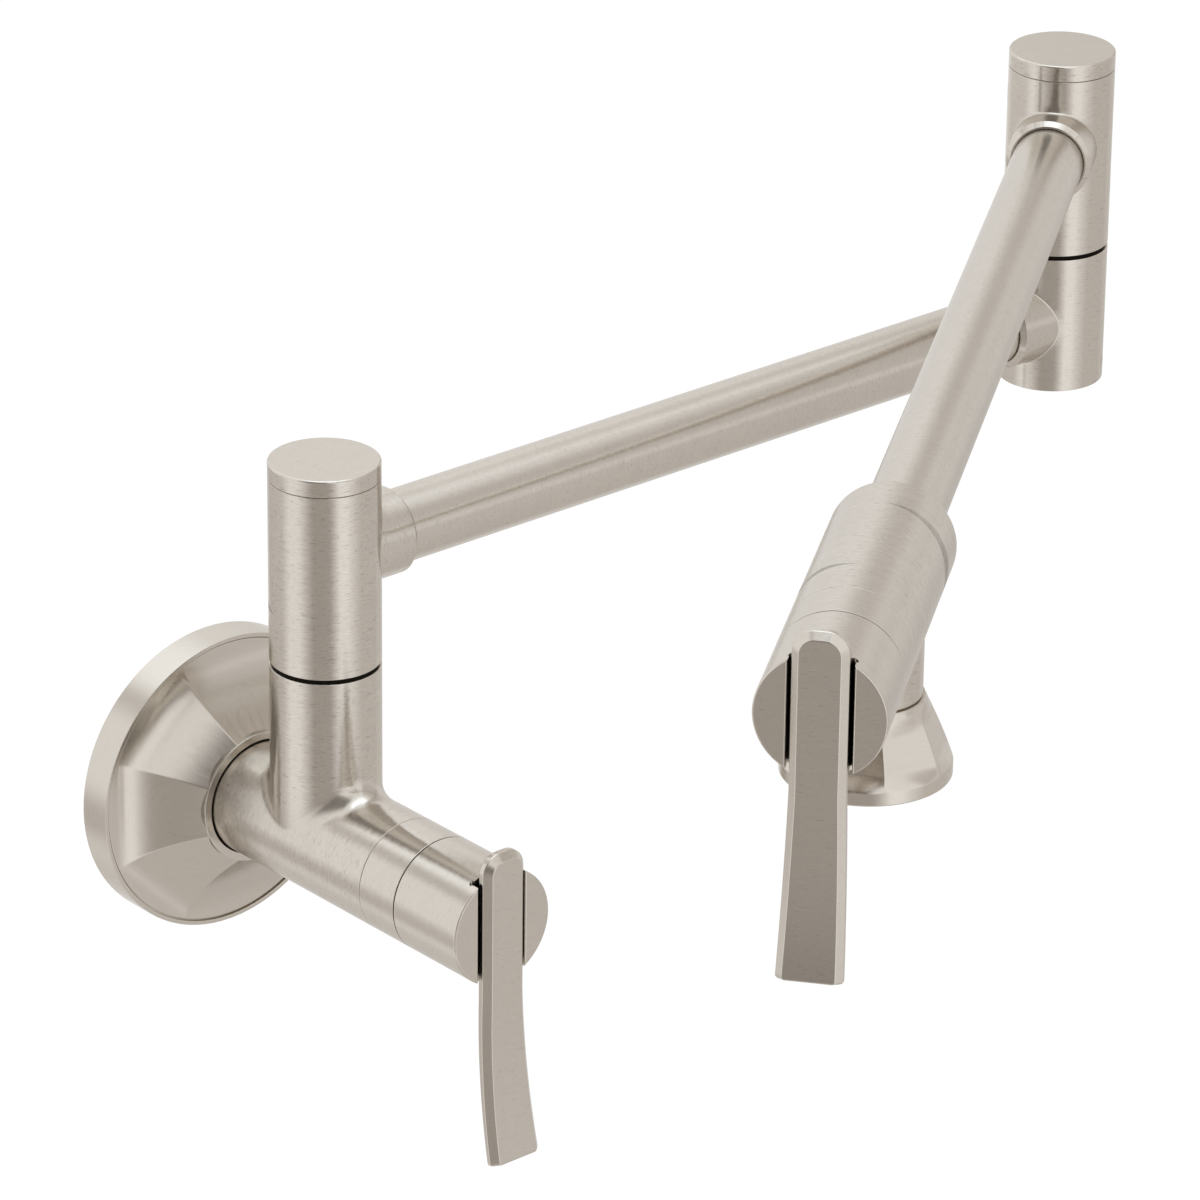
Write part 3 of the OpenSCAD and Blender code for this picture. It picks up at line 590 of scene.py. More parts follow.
def brushed(name, origin, axis, face_way=None, face_depth=1.0, slot_face=None,
            calm=1.0, drawn=1.0):
    """Satin nickel, brushed round an axis, or along face_way on faces square to the axis.

    calm and face_depth set how strong the marks are on the side and on those faces. slot_face is
    the middle of a hub's front, behind which shade is painted into the slot.
    """
    nodes = Nodes(name)
    place, normal = nodes.surface()
    way, grain = round_grain(nodes, place, origin, axis)[:2]
    depth, painted_shade = calm, None
    if face_way is not None:
        facing = nodes.math("ABSOLUTE", nodes.dot(normal, axis))
        on_face = nodes.ramp(facing, *FACE_FADE)
        grain = nodes.mix(on_face, grain, straight_grain(nodes, place, face_way, axis))
        way = nodes.mix(on_face, way, face_way)
        depth = nodes.ramp(on_face, 0.0, 1.0, calm, face_depth)
    # Painted shade inside the hub's slot
    if slot_face is not None:
        painted_shade = slot_shade_mask(nodes, place, slot_face, axis, face_way)
    return metal(nodes, grain, way, normal, place, depth, painted_shade, drawn)


def brushed_tee(name, origin, axis, branch_axis, main_r, blend, calm=1.0):
    """Satin nickel: a bar and its branch are each brushed round their own axis."""
    nodes = Nodes(name)
    place, normal = nodes.surface()
    way, grain, radius = round_grain(nodes, place, origin, axis)
    branch_way, branch_grain = round_grain(nodes, place, origin, branch_axis)[:2]
    on_branch = nodes.ramp(radius, *(main_r + share * blend for share in BRANCH_FADE))
    grain = nodes.mix(on_branch, grain, branch_grain)
    way = nodes.mix(on_branch, way, branch_way)
    return metal(nodes, grain, way, normal, place, calm)


def brushed_straight(name, way, normal_way, slot_face, calm):
    """Satin nickel with straight brushing along one way, with painted shade inside its hub's slot."""
    nodes = Nodes(name)
    place, normal = nodes.surface()
    return metal(nodes, straight_grain(nodes, place, way, normal_way), way, normal, place, calm,
                 slot_shade_mask(nodes, place, slot_face, normal_way, way))


# How many of each kind of mark lie in one streak, and of clouds in a metre
FINE_SCALE, DASH_SCALE, BROAD_SCALE, WAVE_SCALE, CLOUD_SCALE = 1.6, 1.1, 0.12, 0.4, 38.0
# Keeps the dashes apart from the fine marks
DASH_SHIFT = (7.3, 2.1, 5.7)
# Between which values of its noise a dash sets in
DARK_FROM, LIGHT_FROM = (0.675, 0.77), (0.35, 0.25)
# How far each kind of mark lightens or darkens the nickel
FINE_MARK, BROAD_MARK, CLOUD_MARK = 0.04, 0.02, 0.012
DARK_DASH, LIGHT_DASH = 0.22, 0.06
# How bright the nickel's colour stays where shade is painted into a hub's slot
PAINTED_SLOT_LEVEL = 0.06
ROUGHNESS_SPREAD = 0.03


def metal(nodes, grain, way, normal, place, depth=1.0, painted_shade=None, drawn=1.0):
    """Brushed nickel from a grain vector, whose noise is drawn out along the brushing way.

    depth sets how strong the marks are and drawn how far the reflections are drawn out.
    painted_shade is a mask inside a hub's slot, where shade is painted into the colour.
    """
    finish = settings()[1]
    dash_place = nodes.vector("ADD", nodes.scale(grain, DASH_SCALE), DASH_SHIFT)
    fine = nodes.noise(grain, FINE_SCALE, roughness=0.6)
    dash = nodes.noise(dash_place, 1.0, detail=0.0)
    broad = nodes.noise(nodes.scale(grain, BROAD_SCALE), 1.0)
    wave = nodes.noise(nodes.scale(grain, WAVE_SCALE), 1.0, roughness=0.6)
    cloud = nodes.noise(place, CLOUD_SCALE)
    marks = nodes.plus(nodes.spread(fine, FINE_MARK), nodes.spread(broad, BROAD_MARK))
    marks = nodes.math("SUBTRACT", marks, nodes.ramp(dash, *DARK_FROM, 0.0, DARK_DASH))
    marks = nodes.plus(marks, nodes.ramp(dash, *LIGHT_FROM, 0.0, LIGHT_DASH))
    light = nodes.plus(nodes.times(marks, depth), 1.0)
    light = nodes.plus(light, nodes.spread(cloud, CLOUD_MARK))
    # Painted shade: the colour is darkened inside a hub's slot, where little light gets in
    if painted_shade is not None:
        light = nodes.times(light, nodes.ramp(painted_shade, 0.0, 1.0, 1.0, PAINTED_SLOT_LEVEL))
    ripple = nodes.times(depth, nodes.spread(wave, finish.ripple))
    waved = nodes.vector("ADD", normal, nodes.scale(way, ripple))
    shader = nodes.add("ShaderNodeBsdfPrincipled", {
        "Base Color": nodes.tint(light, finish.nickel), "Metallic": 1.0,
        "Roughness": nodes.spread(fine, ROUGHNESS_SPREAD, finish.roughness),
        "Anisotropic": finish.anisotropy * drawn, "Specular Tint": (*finish.edge_tint, 1.0),
        "Normal": nodes.to_world("NORMAL", waved),
        "Tangent": nodes.to_world("VECTOR", nodes.vector("CROSS_PRODUCT", normal, way))})
    return nodes.finish(shader.outputs[0])


# Finishes of the inner pieces by slot: name, roughness, metallic, grains in a metre, spread of the
# mottling, its relief and the specular level
PLAIN_LOOKS = {
    "brass": ("Turned brass", 0.32, 1.0, 2500.0, 0.05, 0.15, 0.5),
    "steel": ("Stainless steel", 0.28, 1.0, 2500.0, 0.04, 0.1, 0.5),
    "rubber": ("Seal rubber", 0.62, 0.0, 1500.0, 0.10, 0.3, 0.5),
    "black_plastic": ("Washer plastic", 0.6, 0.0, 1800.0, 0.08, 0.2, 0.06),
    "ceramic": ("Lapped ceramic", 0.25, 0.0, 1200.0, 0.02, 0.05, 0.5),
}


def plain(base, name, roughness, metallic, grain, spread, bump, specular):
    """Moulded, lapped or turned finish with fine mottling."""
    nodes = Nodes(name)
    place = nodes.surface()[0]
    mottle = nodes.noise(place, grain, 3.0, 0.6)
    cloud = nodes.noise(place, grain / 20)
    light = nodes.plus(nodes.spread(mottle, spread, 1.0), nodes.spread(cloud, spread / 2))
    height = nodes.add("ShaderNodeBump", {
        "Strength": bump, "Distance": 0.03 * MM, "Height": mottle}).outputs[0]
    shader = nodes.add("ShaderNodeBsdfPrincipled", {
        "Base Color": nodes.tint(light, base), "Metallic": metallic,
        "Roughness": nodes.spread(mottle, 2 * ROUGHNESS_SPREAD, roughness),
        "Specular IOR Level": specular, "Normal": height})
    return nodes.finish(shader.outputs[0])


def paint(names, material):
    for name in names:
        mesh = frame["nodes"][name].data
        mesh.materials.clear()
        mesh.materials.append(material)


# Pieces

class POTFILLER_OT_wall_flange(bpy.types.Operator):
    """Build the wall flange: a round rim with a fine groove, eight soft facets and a neck ring"""
    bl_idname = "potfiller.wall_flange"
    bl_label = "Wall Flange"

    def execute(self, context):
        s = context.scene.pot_filler_sizes
        angles = facet_angles()
        rim_r = s.flange_d / 2
        lip_r = rim_r - s.rim_lip
        foot, top = lip_r - s.rim_groove_w, s.neck_ring_d / 2
        low, high = s.rim_h - s.rim_step, s.flange_h - s.neck_ring_h
        hollow_r = lip_r - s.flange_wall
        neck_floor = s.flange_h - s.flange_neck_h

        def cone(u):
            return foot + (top - foot) * u, low + (high - low) * u ** FLANGE_CURVE

        outline = braced(fillet([
            (hollow_r, 0), (rim_r, 0), (rim_r, s.rim_h), (lip_r, s.rim_h),
            (lip_r, s.rim_h - s.rim_groove_h, 0), (foot, s.rim_h - s.rim_groove_h, 0), (foot, low),
            cone(FLANGE_FIRST)], s.seam_edge))
        loops = [facet_loop(r, z, angles) for r, z in outline[:-1]]
        steps = 60
        for k in range(steps + 1):
            r = cone(FLANGE_FIRST + (1 - FLANGE_FIRST) * k / steps)[0]
            heights = [cone(max(0, (foot - r * facet_reach(a)) / (foot - top)))[1] for a in angles]
            loops.append([(r * math.cos(a), r * math.sin(a), z) for a, z in zip(angles, heights)])
        bore_r = s.neck_bore_d / 2
        ring = braced(fillet([
            (top, high), (top, s.flange_h), (bore_r, s.flange_h), (bore_r, neck_floor),
            (bore_r + s.flange_wall, neck_floor)], s.seam_edge))
        loops += [facet_loop(r, z, angles) for r, z in ring[1:]]
        for k in range(steps, -1, -1):
            r, z = cone(k / steps)
            inner = r * math.cos(HALF_FACET) - s.flange_wall
            if z - s.flange_wall < neck_floor and inner > bore_r + s.flange_wall:
                loops.append(facet_loop(inner, z - s.flange_wall, angles))
        loops.append(facet_loop(hollow_r, low - 2 * s.flange_wall, angles))
        obj = build("flange", skin(loops, closed=True), frame_at(INLET, UP, INTO_ROOM))
        dress(obj, "wall_mount", "wall_flange",
              brushed("Flange nickel", INLET, INTO_ROOM, calm=0.15, drawn=0.4))
        return {"FINISHED"}


THREAD_STEPS = 8
THREAD_FLANK = 1.15
THREAD_IN, THREAD_OUT = (0, 0.12), (0.9, 1)


def thread(s, back):
    """Rows of the waterway and the threaded inlet, whose radius is a function of the angle."""
    inlet_r, start = s.inlet_d / 2, s.inlet_l - back
    rows = [(s.water_d / 2, start), (inlet_r, start)]
    steps = int(s.inlet_l / s.thread_pitch * THREAD_STEPS)
    for k in range(1, steps):
        y = start - s.inlet_l * k / steps
        fade = ease(*THREAD_IN, k / steps) * (1 - ease(*THREAD_OUT, k / steps))

        def radius(phi, y=y, fade=fade):
            wave = (y / s.thread_pitch + phi / (2 * math.pi)) % 1
            return inlet_r - s.thread_h * fade * max(0.0, 1 - abs(2 * wave - 1) * THREAD_FLANK)
        rows.append((radius, y))
    return rows


def valve_front(s, front):
    """Outline of a valve body's front end, cartridge seat and chamber."""
    seat_r, seat_floor, chamber_r = s.nut_seat_d / 2, front - s.nut_seat_l, s.chamber_d / 2
    return [(s.body_d / 2, front), (seat_r, front), (seat_r, seat_floor), (chamber_r, seat_floor),
            (chamber_r, -s.chamber_back), (s.water_d / 2, -s.chamber_back)]


def valves(s):
    """Both valves: name, fixed body, point on the axis, way out and the valve body's front."""
    return (("wall", "wall_mount", TEE, INTO_ROOM, s.wall_reach),
            ("spout", "outer_arm", SPOUT, OUTER_ARM, s.spout_reach))


class POTFILLER_OT_wall_body(bpy.types.Operator):
    """Build the wall valve body: a tee with a rolled blend and a threaded inlet"""
    bl_idname = "potfiller.wall_body"
    bl_label = "Wall Valve Body"

    def execute(self, context):
        s = context.scene.pot_filler_sizes
        body_r, column_r, post_r = s.body_d / 2, s.column_d / 2, s.post_d / 2
        back = (INLET - TEE).length
        branch = braced(fillet([
            (0, s.stub_h - s.post_seat), (post_r, s.stub_h - s.post_seat), (post_r, s.stub_h),
            (column_r, s.stub_h), (column_r, s.stub_h - BRANCH_SIDE)], s.seam_edge))
        front = valve_front(s, s.wall_reach)
        main = braced(fillet([(body_r, WALL_PATCH)] + front, s.seam_edge))
        main += thread(s, back)
        main += braced(fillet([
            (s.inlet_d / 2, s.thread_h - back), (s.inlet_d / 2, -back), (body_r, -back),
            (body_r, -WALL_PATCH)], s.edge))
        shape = tee(body_r, column_r, s.tee_blend, WALL_PATCH, branch, main)
        obj = build("valve_body", shape, frame_at(TEE, INTO_ROOM, UP))
        dress(obj, "wall_mount", "wall_body", brushed_tee(
            "Valve body nickel", TEE, INTO_ROOM, UP, body_r, s.tee_blend))
        return {"FINISHED"}


class POTFILLER_OT_barrels(bpy.types.Operator):
    """Build the three column barrels with their arm collars"""
    bl_idname = "potfiller.barrels"
    bl_label = "Column Barrels"

    def collar(self, s):
        """Outline of a collar: socket, fine recess round the tube, bevelled end."""
        end, socket_r, collar_r = s.collar_reach, s.socket_d / 2, s.collar_d / 2
        return braced(fillet([
            (0, s.socket_start), (socket_r, s.socket_start), (socket_r, end - s.recess_l),
            (socket_r + s.recess_w, end - s.recess_l, 0), (socket_r + s.recess_w, end),
            (collar_r - s.collar_bevel, end), (collar_r, end - s.collar_bevel),
            (collar_r, end - 2 * s.collar_bevel)], s.seam_edge))

    def swivel(self, s):
        """Outline of a barrel that turns on a post, from its upper to its lower side."""
        r, top, bottom = s.column_d / 2, s.arm_drop, s.arm_drop - s.barrel_h
        pocket_r, bore_r, chamber_r = s.pocket_d / 2, s.barrel_bore / 2, s.ring_chamber_d / 2
        half = s.ring_chamber_h / 2
        return braced(fillet([
            (r, BARREL_PATCH), (r, top), (pocket_r, top), (pocket_r, top - s.pocket_h),
            (bore_r, top - s.pocket_h), (bore_r, half), (chamber_r, half), (chamber_r, -half),
            (bore_r, -half), (bore_r, bottom), (r, bottom), (r, -BARREL_PATCH)], s.seam_edge))

    def elbow(self, s):
        """Outline of the lower elbow barrel, which carries a post."""
        r, top, bottom = s.column_d / 2, s.elbow_h - s.elbow_lift, -s.elbow_lift
        return braced(fillet([
            (r, BARREL_PATCH), (r, top), (s.post_d / 2, top), (s.post_d / 2, top - s.post_seat),
            (s.post_bore / 2, top - s.post_seat), (s.post_bore / 2, 0), (0, 0, 0), (0, bottom, 0),
            (r, bottom), (r, -BARREL_PATCH)], s.seam_edge))

    def execute(self, context):
        s = context.scene.pot_filler_sizes
        column_r, collar_r = s.column_d / 2, s.collar_d / 2
        swivel, elbow = self.swivel(s), self.elbow(s)
        rows = (
            ("column_barrel", "inner_arm", "wall_swivel_barrel", COLUMN, INNER_ARM, swivel, 1.0),
            ("lower_elbow", "inner_arm", "elbow_lower_barrel", ELBOW_LOW, -INNER_ARM, elbow, 0.6),
            ("upper_elbow", "outer_arm", "elbow_upper_barrel", ELBOW, OUTER_ARM, swivel, 0.6),
        )
        for name, body, node, origin, arm, main, calm in rows:
            shape = tee(column_r, collar_r, s.joint_blend, BARREL_PATCH, self.collar(s), main)
            obj = build(name, shape, frame_at(origin, UP, arm))
            dress(obj, body, node, brushed_tee(
                nickel_name(name), origin, UP, arm, column_r, s.joint_blend, calm))
        return {"FINISHED"}


class POTFILLER_OT_caps(bpy.types.Operator):
    """Build the caps of both swivel columns"""
    bl_idname = "potfiller.caps"
    bl_label = "Column Caps"

    def execute(self, context):
        s = context.scene.pot_filler_sizes
        r, plug_r = s.column_d / 2, s.pocket_d / 2 - s.seam_edge
        groove_r = r - s.groove_h
        outline = braced(fillet([
            (0, s.cap_h), (r, s.cap_h, s.cap_round), (r, s.cap_groove_w),
            (groove_r, s.cap_groove_w, 0), (groove_r, 0), (plug_r, 0), (plug_r, -s.cap_plug_h),
            (0, -s.cap_plug_h)], s.seam_edge, 6))
        for name, body, node, column in (("column_top", "inner_arm", "wall_column_cap", COLUMN),
                                         ("elbow_top", "outer_arm", "elbow_cap", ELBOW)):
            obj = build(name, skin(turned(outline)), Matrix.Translation(column + UP * s.arm_drop))
            dress(obj, body, node,
                  brushed(nickel_name(name), column, UP, INNER_ARM, face_depth=0.35))
        return {"FINISHED"}


class POTFILLER_OT_trim_rings(bpy.types.Operator):
    """Build the trim ring in front of each valve body"""
    bl_idname = "potfiller.trim_rings"
    bl_label = "Trim Rings"

    def execute(self, context):
        s = context.scene.pot_filler_sizes
        r, bore_r, nut_r = s.body_d / 2, s.trim_bore / 2, s.nut_seat_d / 2
        floor, face = s.trim_l - s.trim_plate, s.trim_l + s.gap_trim
        groove_r = r - s.groove_h
        outline = braced(fillet([
            (bore_r, floor), (bore_r, face), (r, face), (r, s.trim_groove_w),
            (groove_r, s.trim_groove_w, 0), (groove_r, 0), (nut_r, 0), (nut_r, floor),
            (bore_r, floor)], s.seam_edge))
        for valve, body, axis_point, out, front in valves(s):
            place = frame_at(axis_point + out * front, UP, out)
            obj = build(valve + "_trim", skin(turned(outline)), place)
            dress(obj, body, valve + "_trim_ring",
                  brushed(nickel_name(valve + "_trim"), axis_point, out, calm=0.6))
        return {"FINISHED"}


class POTFILLER_OT_spout_body(bpy.types.Operator):
    """Build the spout valve body with its round shoulder and drop tube"""
    bl_idname = "potfiller.spout_body"
    bl_label = "Spout Valve Body"

    def execute(self, context):
        s = context.scene.pot_filler_sizes
        body_r, drop_r = s.body_d / 2, s.drop_d / 2
        socket_r, spigot_r = s.socket_d / 2, s.spigot_d / 2
        rear = -s.shoulder_reach
        branch = braced(fillet([
            (0, s.drop_l - s.spigot_l), (spigot_r, s.drop_l - s.spigot_l), (spigot_r, s.drop_l),
            (drop_r, s.drop_l), (drop_r, s.drop_l - BRANCH_SIDE)], s.seam_edge))
        main = braced(fillet([(body_r, SPOUT_PATCH)] + valve_front(s, s.spout_reach) + [
            (s.water_d / 2, rear + s.spout_socket_l), (socket_r, rear + s.spout_socket_l),
            (socket_r, rear + s.recess_l), (socket_r + s.recess_w, rear + s.recess_l, 0),
            (socket_r + s.recess_w, rear), (body_r, rear, s.shoulder_round),
            (body_r, -SPOUT_PATCH)], s.seam_edge, 8))
        shape = tee(body_r, drop_r, s.drop_blend, SPOUT_PATCH, branch, main)
        obj = build("spout_valve", shape, frame_at(SPOUT, OUTER_ARM, -UP))
        dress(obj, "outer_arm", "spout_body", brushed_tee(
            "Spout valve nickel", SPOUT, OUTER_ARM, UP, body_r, s.drop_blend))
        return {"FINISHED"}


class POTFILLER_OT_nozzle(bpy.types.Operator):
    """Build the bell nozzle with its soft facets and round rim"""
    bl_idname = "potfiller.nozzle"
    bl_label = "Bell Nozzle"

    def execute(self, context):
        s = context.scene.pot_filler_sizes
        angles = facet_angles()
        neck, foot, seam_r = s.bell_neck_d / 2, s.bell_rim_d / 2, s.bell_seam_d / 2
        seam, band, mouth_r = s.bell_seam_h, s.bell_band_h - s.bell_h, s.mouth_d / 2
        spigot_r, water_r, seat_r = s.spigot_d / 2, s.water_d / 2, s.aerator_d / 2
        ceiling = s.mouth_h - s.bell_h
        start = -BELL_START * seam
        loops = [facet_loop(r, z, angles) for r, z in fillet(
            [(seam_r, 0), (seam_r, -seam), (neck, -seam), (neck, -3 * seam)], s.seam_edge)[:-1]]
        steps = 48
        for k in range(steps + 1):
            u = k / steps
            r = neck + (foot - neck) * (1 - (1 - u) ** BELL_CURVE)
            press = ease(*BELL_PRESS_ON, u) * (1 - ease(*BELL_PRESS_OFF, u))
            loops.append(facet_loop(r, start + (band - start) * u, angles, press))
        rim = braced(fillet([
            (foot, band), (foot, -s.bell_h, 2 * s.edge), (mouth_r, -s.bell_h), (mouth_r, ceiling),
            (seat_r, ceiling), (seat_r, -s.aerator_top), (water_r, -s.aerator_top),
            (water_r, s.spigot_l), (spigot_r, s.spigot_l), (spigot_r, 0)], s.edge))
        loops += [facet_loop(r, z, angles) for r, z in rim[1:]]
        place = frame_at(SPOUT - UP * s.drop_l, UP.cross(OUTER_ARM), UP)
        obj = build("bell_nozzle", skin(loops, closed=True), place)
        dress(obj, "outer_arm", "nozzle",
              brushed("Nozzle nickel", SPOUT, UP, calm=0.15, drawn=0.4))
        return {"FINISHED"}


class POTFILLER_OT_levers(bpy.types.Operator):
    """Build both levers: flat blades with bevelled front edges that sweep forward at the tip"""
    bl_idname = "potfiller.levers"
    bl_label = "Levers"

    def section(self, s, y, way, reach, lean, t, thin=0.0):
        """Right half of a section with rounded edges, from the front's middle to the back's."""
        mid = s.lever_w / 2 - s.lever_corner
        sweep = s.sweep_r * (1 - math.cos(lean))
        outline = braced(fillet([
            (0, -thin), (reach - s.lever_bevel, -thin), (reach, -s.lever_bevel), (reach, thin - t),
            (0, thin - t)], s.lever_edge))
        return [(mid + d * math.cos(way), y + d * math.sin(way) + z * math.sin(lean),
                 sweep + z * math.cos(lean)) for d, z in outline]

    def sweep_section(self, s, down, narrow=0.0, thin=0.0):
        """A section of the part that sweeps forward, at a place below the axis."""
        along = (down - s.sweep_start) / (s.lever_drop - s.sweep_start)
        lean = math.asin((down - s.sweep_start) / s.sweep_r)
        reach = (s.tip_w - s.lever_w) * along / 2 + s.lever_corner - narrow
        t = s.lever_t + (s.tip_t - s.lever_t) * along
        return self.section(s, -down, 0, reach, lean, t, thin)

    def blade(self, s):
        """Points and faces of a lever, from its front face's middle line round both halves."""
        corners, sweeps, tips = 24, 60, 8
        last_down = s.lever_drop - s.tip_round
        high = s.lever_rise - s.lever_corner
        right = [self.section(
            s, high, math.pi / 2 * (1 - k / corners), s.lever_corner, 0, s.lever_t)
            for k in range(corners + 1)]
        right += [self.sweep_section(s, s.sweep_start + (last_down - s.sweep_start) * k / sweeps)
                  for k in range(sweeps + 1)]
        for k in range(1, tips + 1):
            a = math.pi / 2 * k / tips
            out = s.tip_round * math.sin(a)
            near_end = max(0.0, 1 - (s.tip_round - out) / s.lever_edge)
            right.append(self.sweep_section(s, last_down + out, s.tip_round * (1 - math.cos(a)),
                                            s.lever_edge * (1 - math.sqrt(1 - near_end ** 2))))
        left = [[(-x, y, z) for x, y, z in row] for row in right]
        points, faces = skin(left[::-1] + right, closed=True)
        rows, n = len(right), len(right[0])
        for i in range(corners, rows - 1):
            for j in (0, n - 1):
                left_row, right_row = (rows - 1 - i) * n + j, (rows + i) * n + j
                faces.append((left_row, right_row, right_row + n, left_row - n))
        return points, faces

    def execute(self, context):
        s = context.scene.pot_filler_sizes
        blade = self.blade(s)
        for valve, _, axis_point, out, front in valves(s):
            hub_face = axis_point + out * (front + s.trim_l + s.handle_gap + s.hub_l)
            obj = build(valve + "_blade", blade, frame_at(hub_face + out * s.lever_proud, UP, out))
            # The blade gets painted shade where it sits in its hub's slot
            dress(obj, valve + "_handle", valve + "_lever", brushed_straight(
                nickel_name(valve + "_blade"), UP.cross(out), out, hub_face, calm=0.45))
        return {"FINISHED"}


class POTFILLER_OT_arms(bpy.types.Operator):
    """Finish the arm tubes"""
    bl_idname = "potfiller.arms"
    bl_label = "Arm Tubes"

    def execute(self, context):
        paint(("inner_arm_tube",), brushed("Inner arm nickel", COLUMN, INNER_ARM, calm=0.7))
        paint(("outer_arm_tube",), brushed("Outer arm nickel", SPOUT, OUTER_ARM, calm=0.7))
        return {"FINISHED"}


class POTFILLER_OT_hubs(bpy.types.Operator):
    """Build both handle hubs: round bars with a relieved slot in front and a set screw hole"""
    bl_idname = "potfiller.hubs"
    bl_label = "Handle Hubs"

    def slot_outline(self, s):
        """Outline across the slot, from its rounded mouth on the right over to the left."""
        half, relief, floor = s.lever_w / 2 + s.slot_gap, s.relief_d / 2, s.hub_l - s.slot_depth
        middle, lip, edge = half - relief / 2, s.hub_l - s.hub_edge, s.hub_edge
        side = [(half + 2 * edge, s.hub_l + edge)]
        for angle in range(80, 181, 20):
            a = math.radians(angle)
            side.append((half + edge + edge * math.cos(a), lip + edge * math.sin(a)))
        for angle in range(60, -181, -12):
            a = math.radians(angle)
            side.append((middle + relief * math.cos(a), floor + relief * math.sin(a)))
        return side + [(-x, z) for x, z in reversed(side)]

    def execute(self, context):
        s = context.scene.pot_filler_sizes
        r, bore_r, back = s.body_d / 2, s.hub_bore / 2, -s.gap_trim
        bar = turned(braced(fillet([
            (0, s.hub_l), (r, s.hub_l, s.hub_edge), (r, back), (bore_r, back),
            (bore_r, s.hub_bore_l), (0, s.hub_bore_l)], s.seam_edge)))
        reach = r + s.hub_bore
        outline = self.slot_outline(s)
        n = len(outline)
        slot_points, slot_faces = skin([[(x, y, z) for x, z in outline] for y in (-reach, reach)])
        slot_faces += [list(range(n)), list(range(n, 2 * n))]
        hole = turned([(0, 0), (s.screw_d / 2, 0), (s.screw_d / 2, reach), (0, reach)], 48)
        down = Matrix.Translation((0, 0, s.screw_z)) @ Matrix.Rotation(math.pi / 2, 4, "X")
        for valve, _, axis_point, out, front in valves(s):
            start = axis_point + out * (front + s.trim_l + s.handle_gap)
            place = frame_at(start, UP, out)
            obj = build(valve + "_hub", skin(bar), place)
            carve(obj, build("slot", (slot_points, slot_faces), place))
            carve(obj, build("hole", skin(hole), place @ down))
            # The hub gets painted shade inside its slot, behind its front
            dress(obj, valve + "_handle", valve + "_handle_hub", brushed(
                nickel_name(valve + "_hub"), axis_point, out, face_way=UP.cross(out),
                face_depth=0.4, slot_face=start + out * s.hub_l, calm=0.5))
        return {"FINISHED"}


class POTFILLER_OT_inner_works(bpy.types.Operator):
    """Finish the posts, cartridges, discs, seals, washers, screws and aerator"""
    bl_idname = "potfiller.inner_works"
    bl_label = "Inner Works"

    def execute(self, context):
        finish = context.scene.pot_filler_finish
        slots = {row["node"]: row["material_slot"] for row in frame["record"]["subparts"]}
        for slot, look in PLAIN_LOOKS.items():
            alike = [node for node in slots if slots[node] == slot]
            paint(alike, plain(getattr(finish, slot), *look))
        return {"FINISHED"}


# Studio

# Reflector cards, each in front of the ones before: name, azimuths from and to, elevations from
# and to, level, and the fade's width at the west, east, low and high edge, with angles in degrees
CARDS = (
    ("zenith", -180, 180, 64, 89.9, 1.9, (0.1, 0.1, 8, 0.1)),
    ("back_light", 144, 210, 33, 72, 1.28, (8, 10, 6, 8)),
    ("bottom", -180, 180, -89.9, -44, 0.65, (0.1, 0.1, 0.1, 10)),
    ("low_back", 128, 236, -62, -34, 0.79, (14, 20, 12, 10)),
    ("back_right", 96, 145, -62, 22, 0.86, (8, 12, 10, 10)),
    ("right_low", 4, 106, -60, 8, 0.67, (34, 16, 8, 14)),
    ("right_back_low", 94, 118, -60, -9, 0.70, (8, 10, 8, 10)),
    ("right_high", 27, 104, -2, 60, 0.66, (6, 14, 14, 14)),
    ("back_right_high", 102, 139, 10, 49, 0.68, (8, 17, 8, 8)),
    ("back_right_low", 109, 137, -36, -14, 0.76, (8, 8, 8, 8)),
    ("back_left_low", -208, -116, -40, -10, 0.65, (26, 18, 10, 12)),
    ("back_left_high", -155, -129, 23, 47, 0.60, (5, 8, 8, 8)),
    ("front_strip", -20, 12, -50, 20, 1.08, (8, 10, 16, 10)),
    ("camera_side_low", -95, -13, -50, 2, 0.46, (28, 20, 14, 10)),
    ("camera_side_high", -100, -33, -10, 57, 0.25, (20, 8, 10, 6)),
)
CARD_CENTRE = Vector((0.12, -0.13, 0.08))
CARD_COLUMNS, CARD_ROWS = 48, 24
# How much red, green and blue a card lacks when its level is at least CARD_DIM below white
CARD_TINT = (0.0, 0.07, 0.13)
CARD_DIM = 0.6
# How much of the way down to the floor a card may use
ABOVE_FLOOR = 0.98
FLOOR_HALF = 8.0
FLOOR_GLOW = 0.93
FLOOR_SHADE = (0.12, 0.12, 0.12)
LAMP_SIZE = 1.2
LAMP_PLACE = Vector((-0.6, -0.5, 1.5))


def view_way(azimuth, elevation):
    """Way towards a place round the part: azimuth from the room side, elevation from level."""
    flat = math.cos(elevation)
    return Vector((math.sin(azimuth) * flat, -math.cos(azimuth) * flat, math.sin(elevation)))


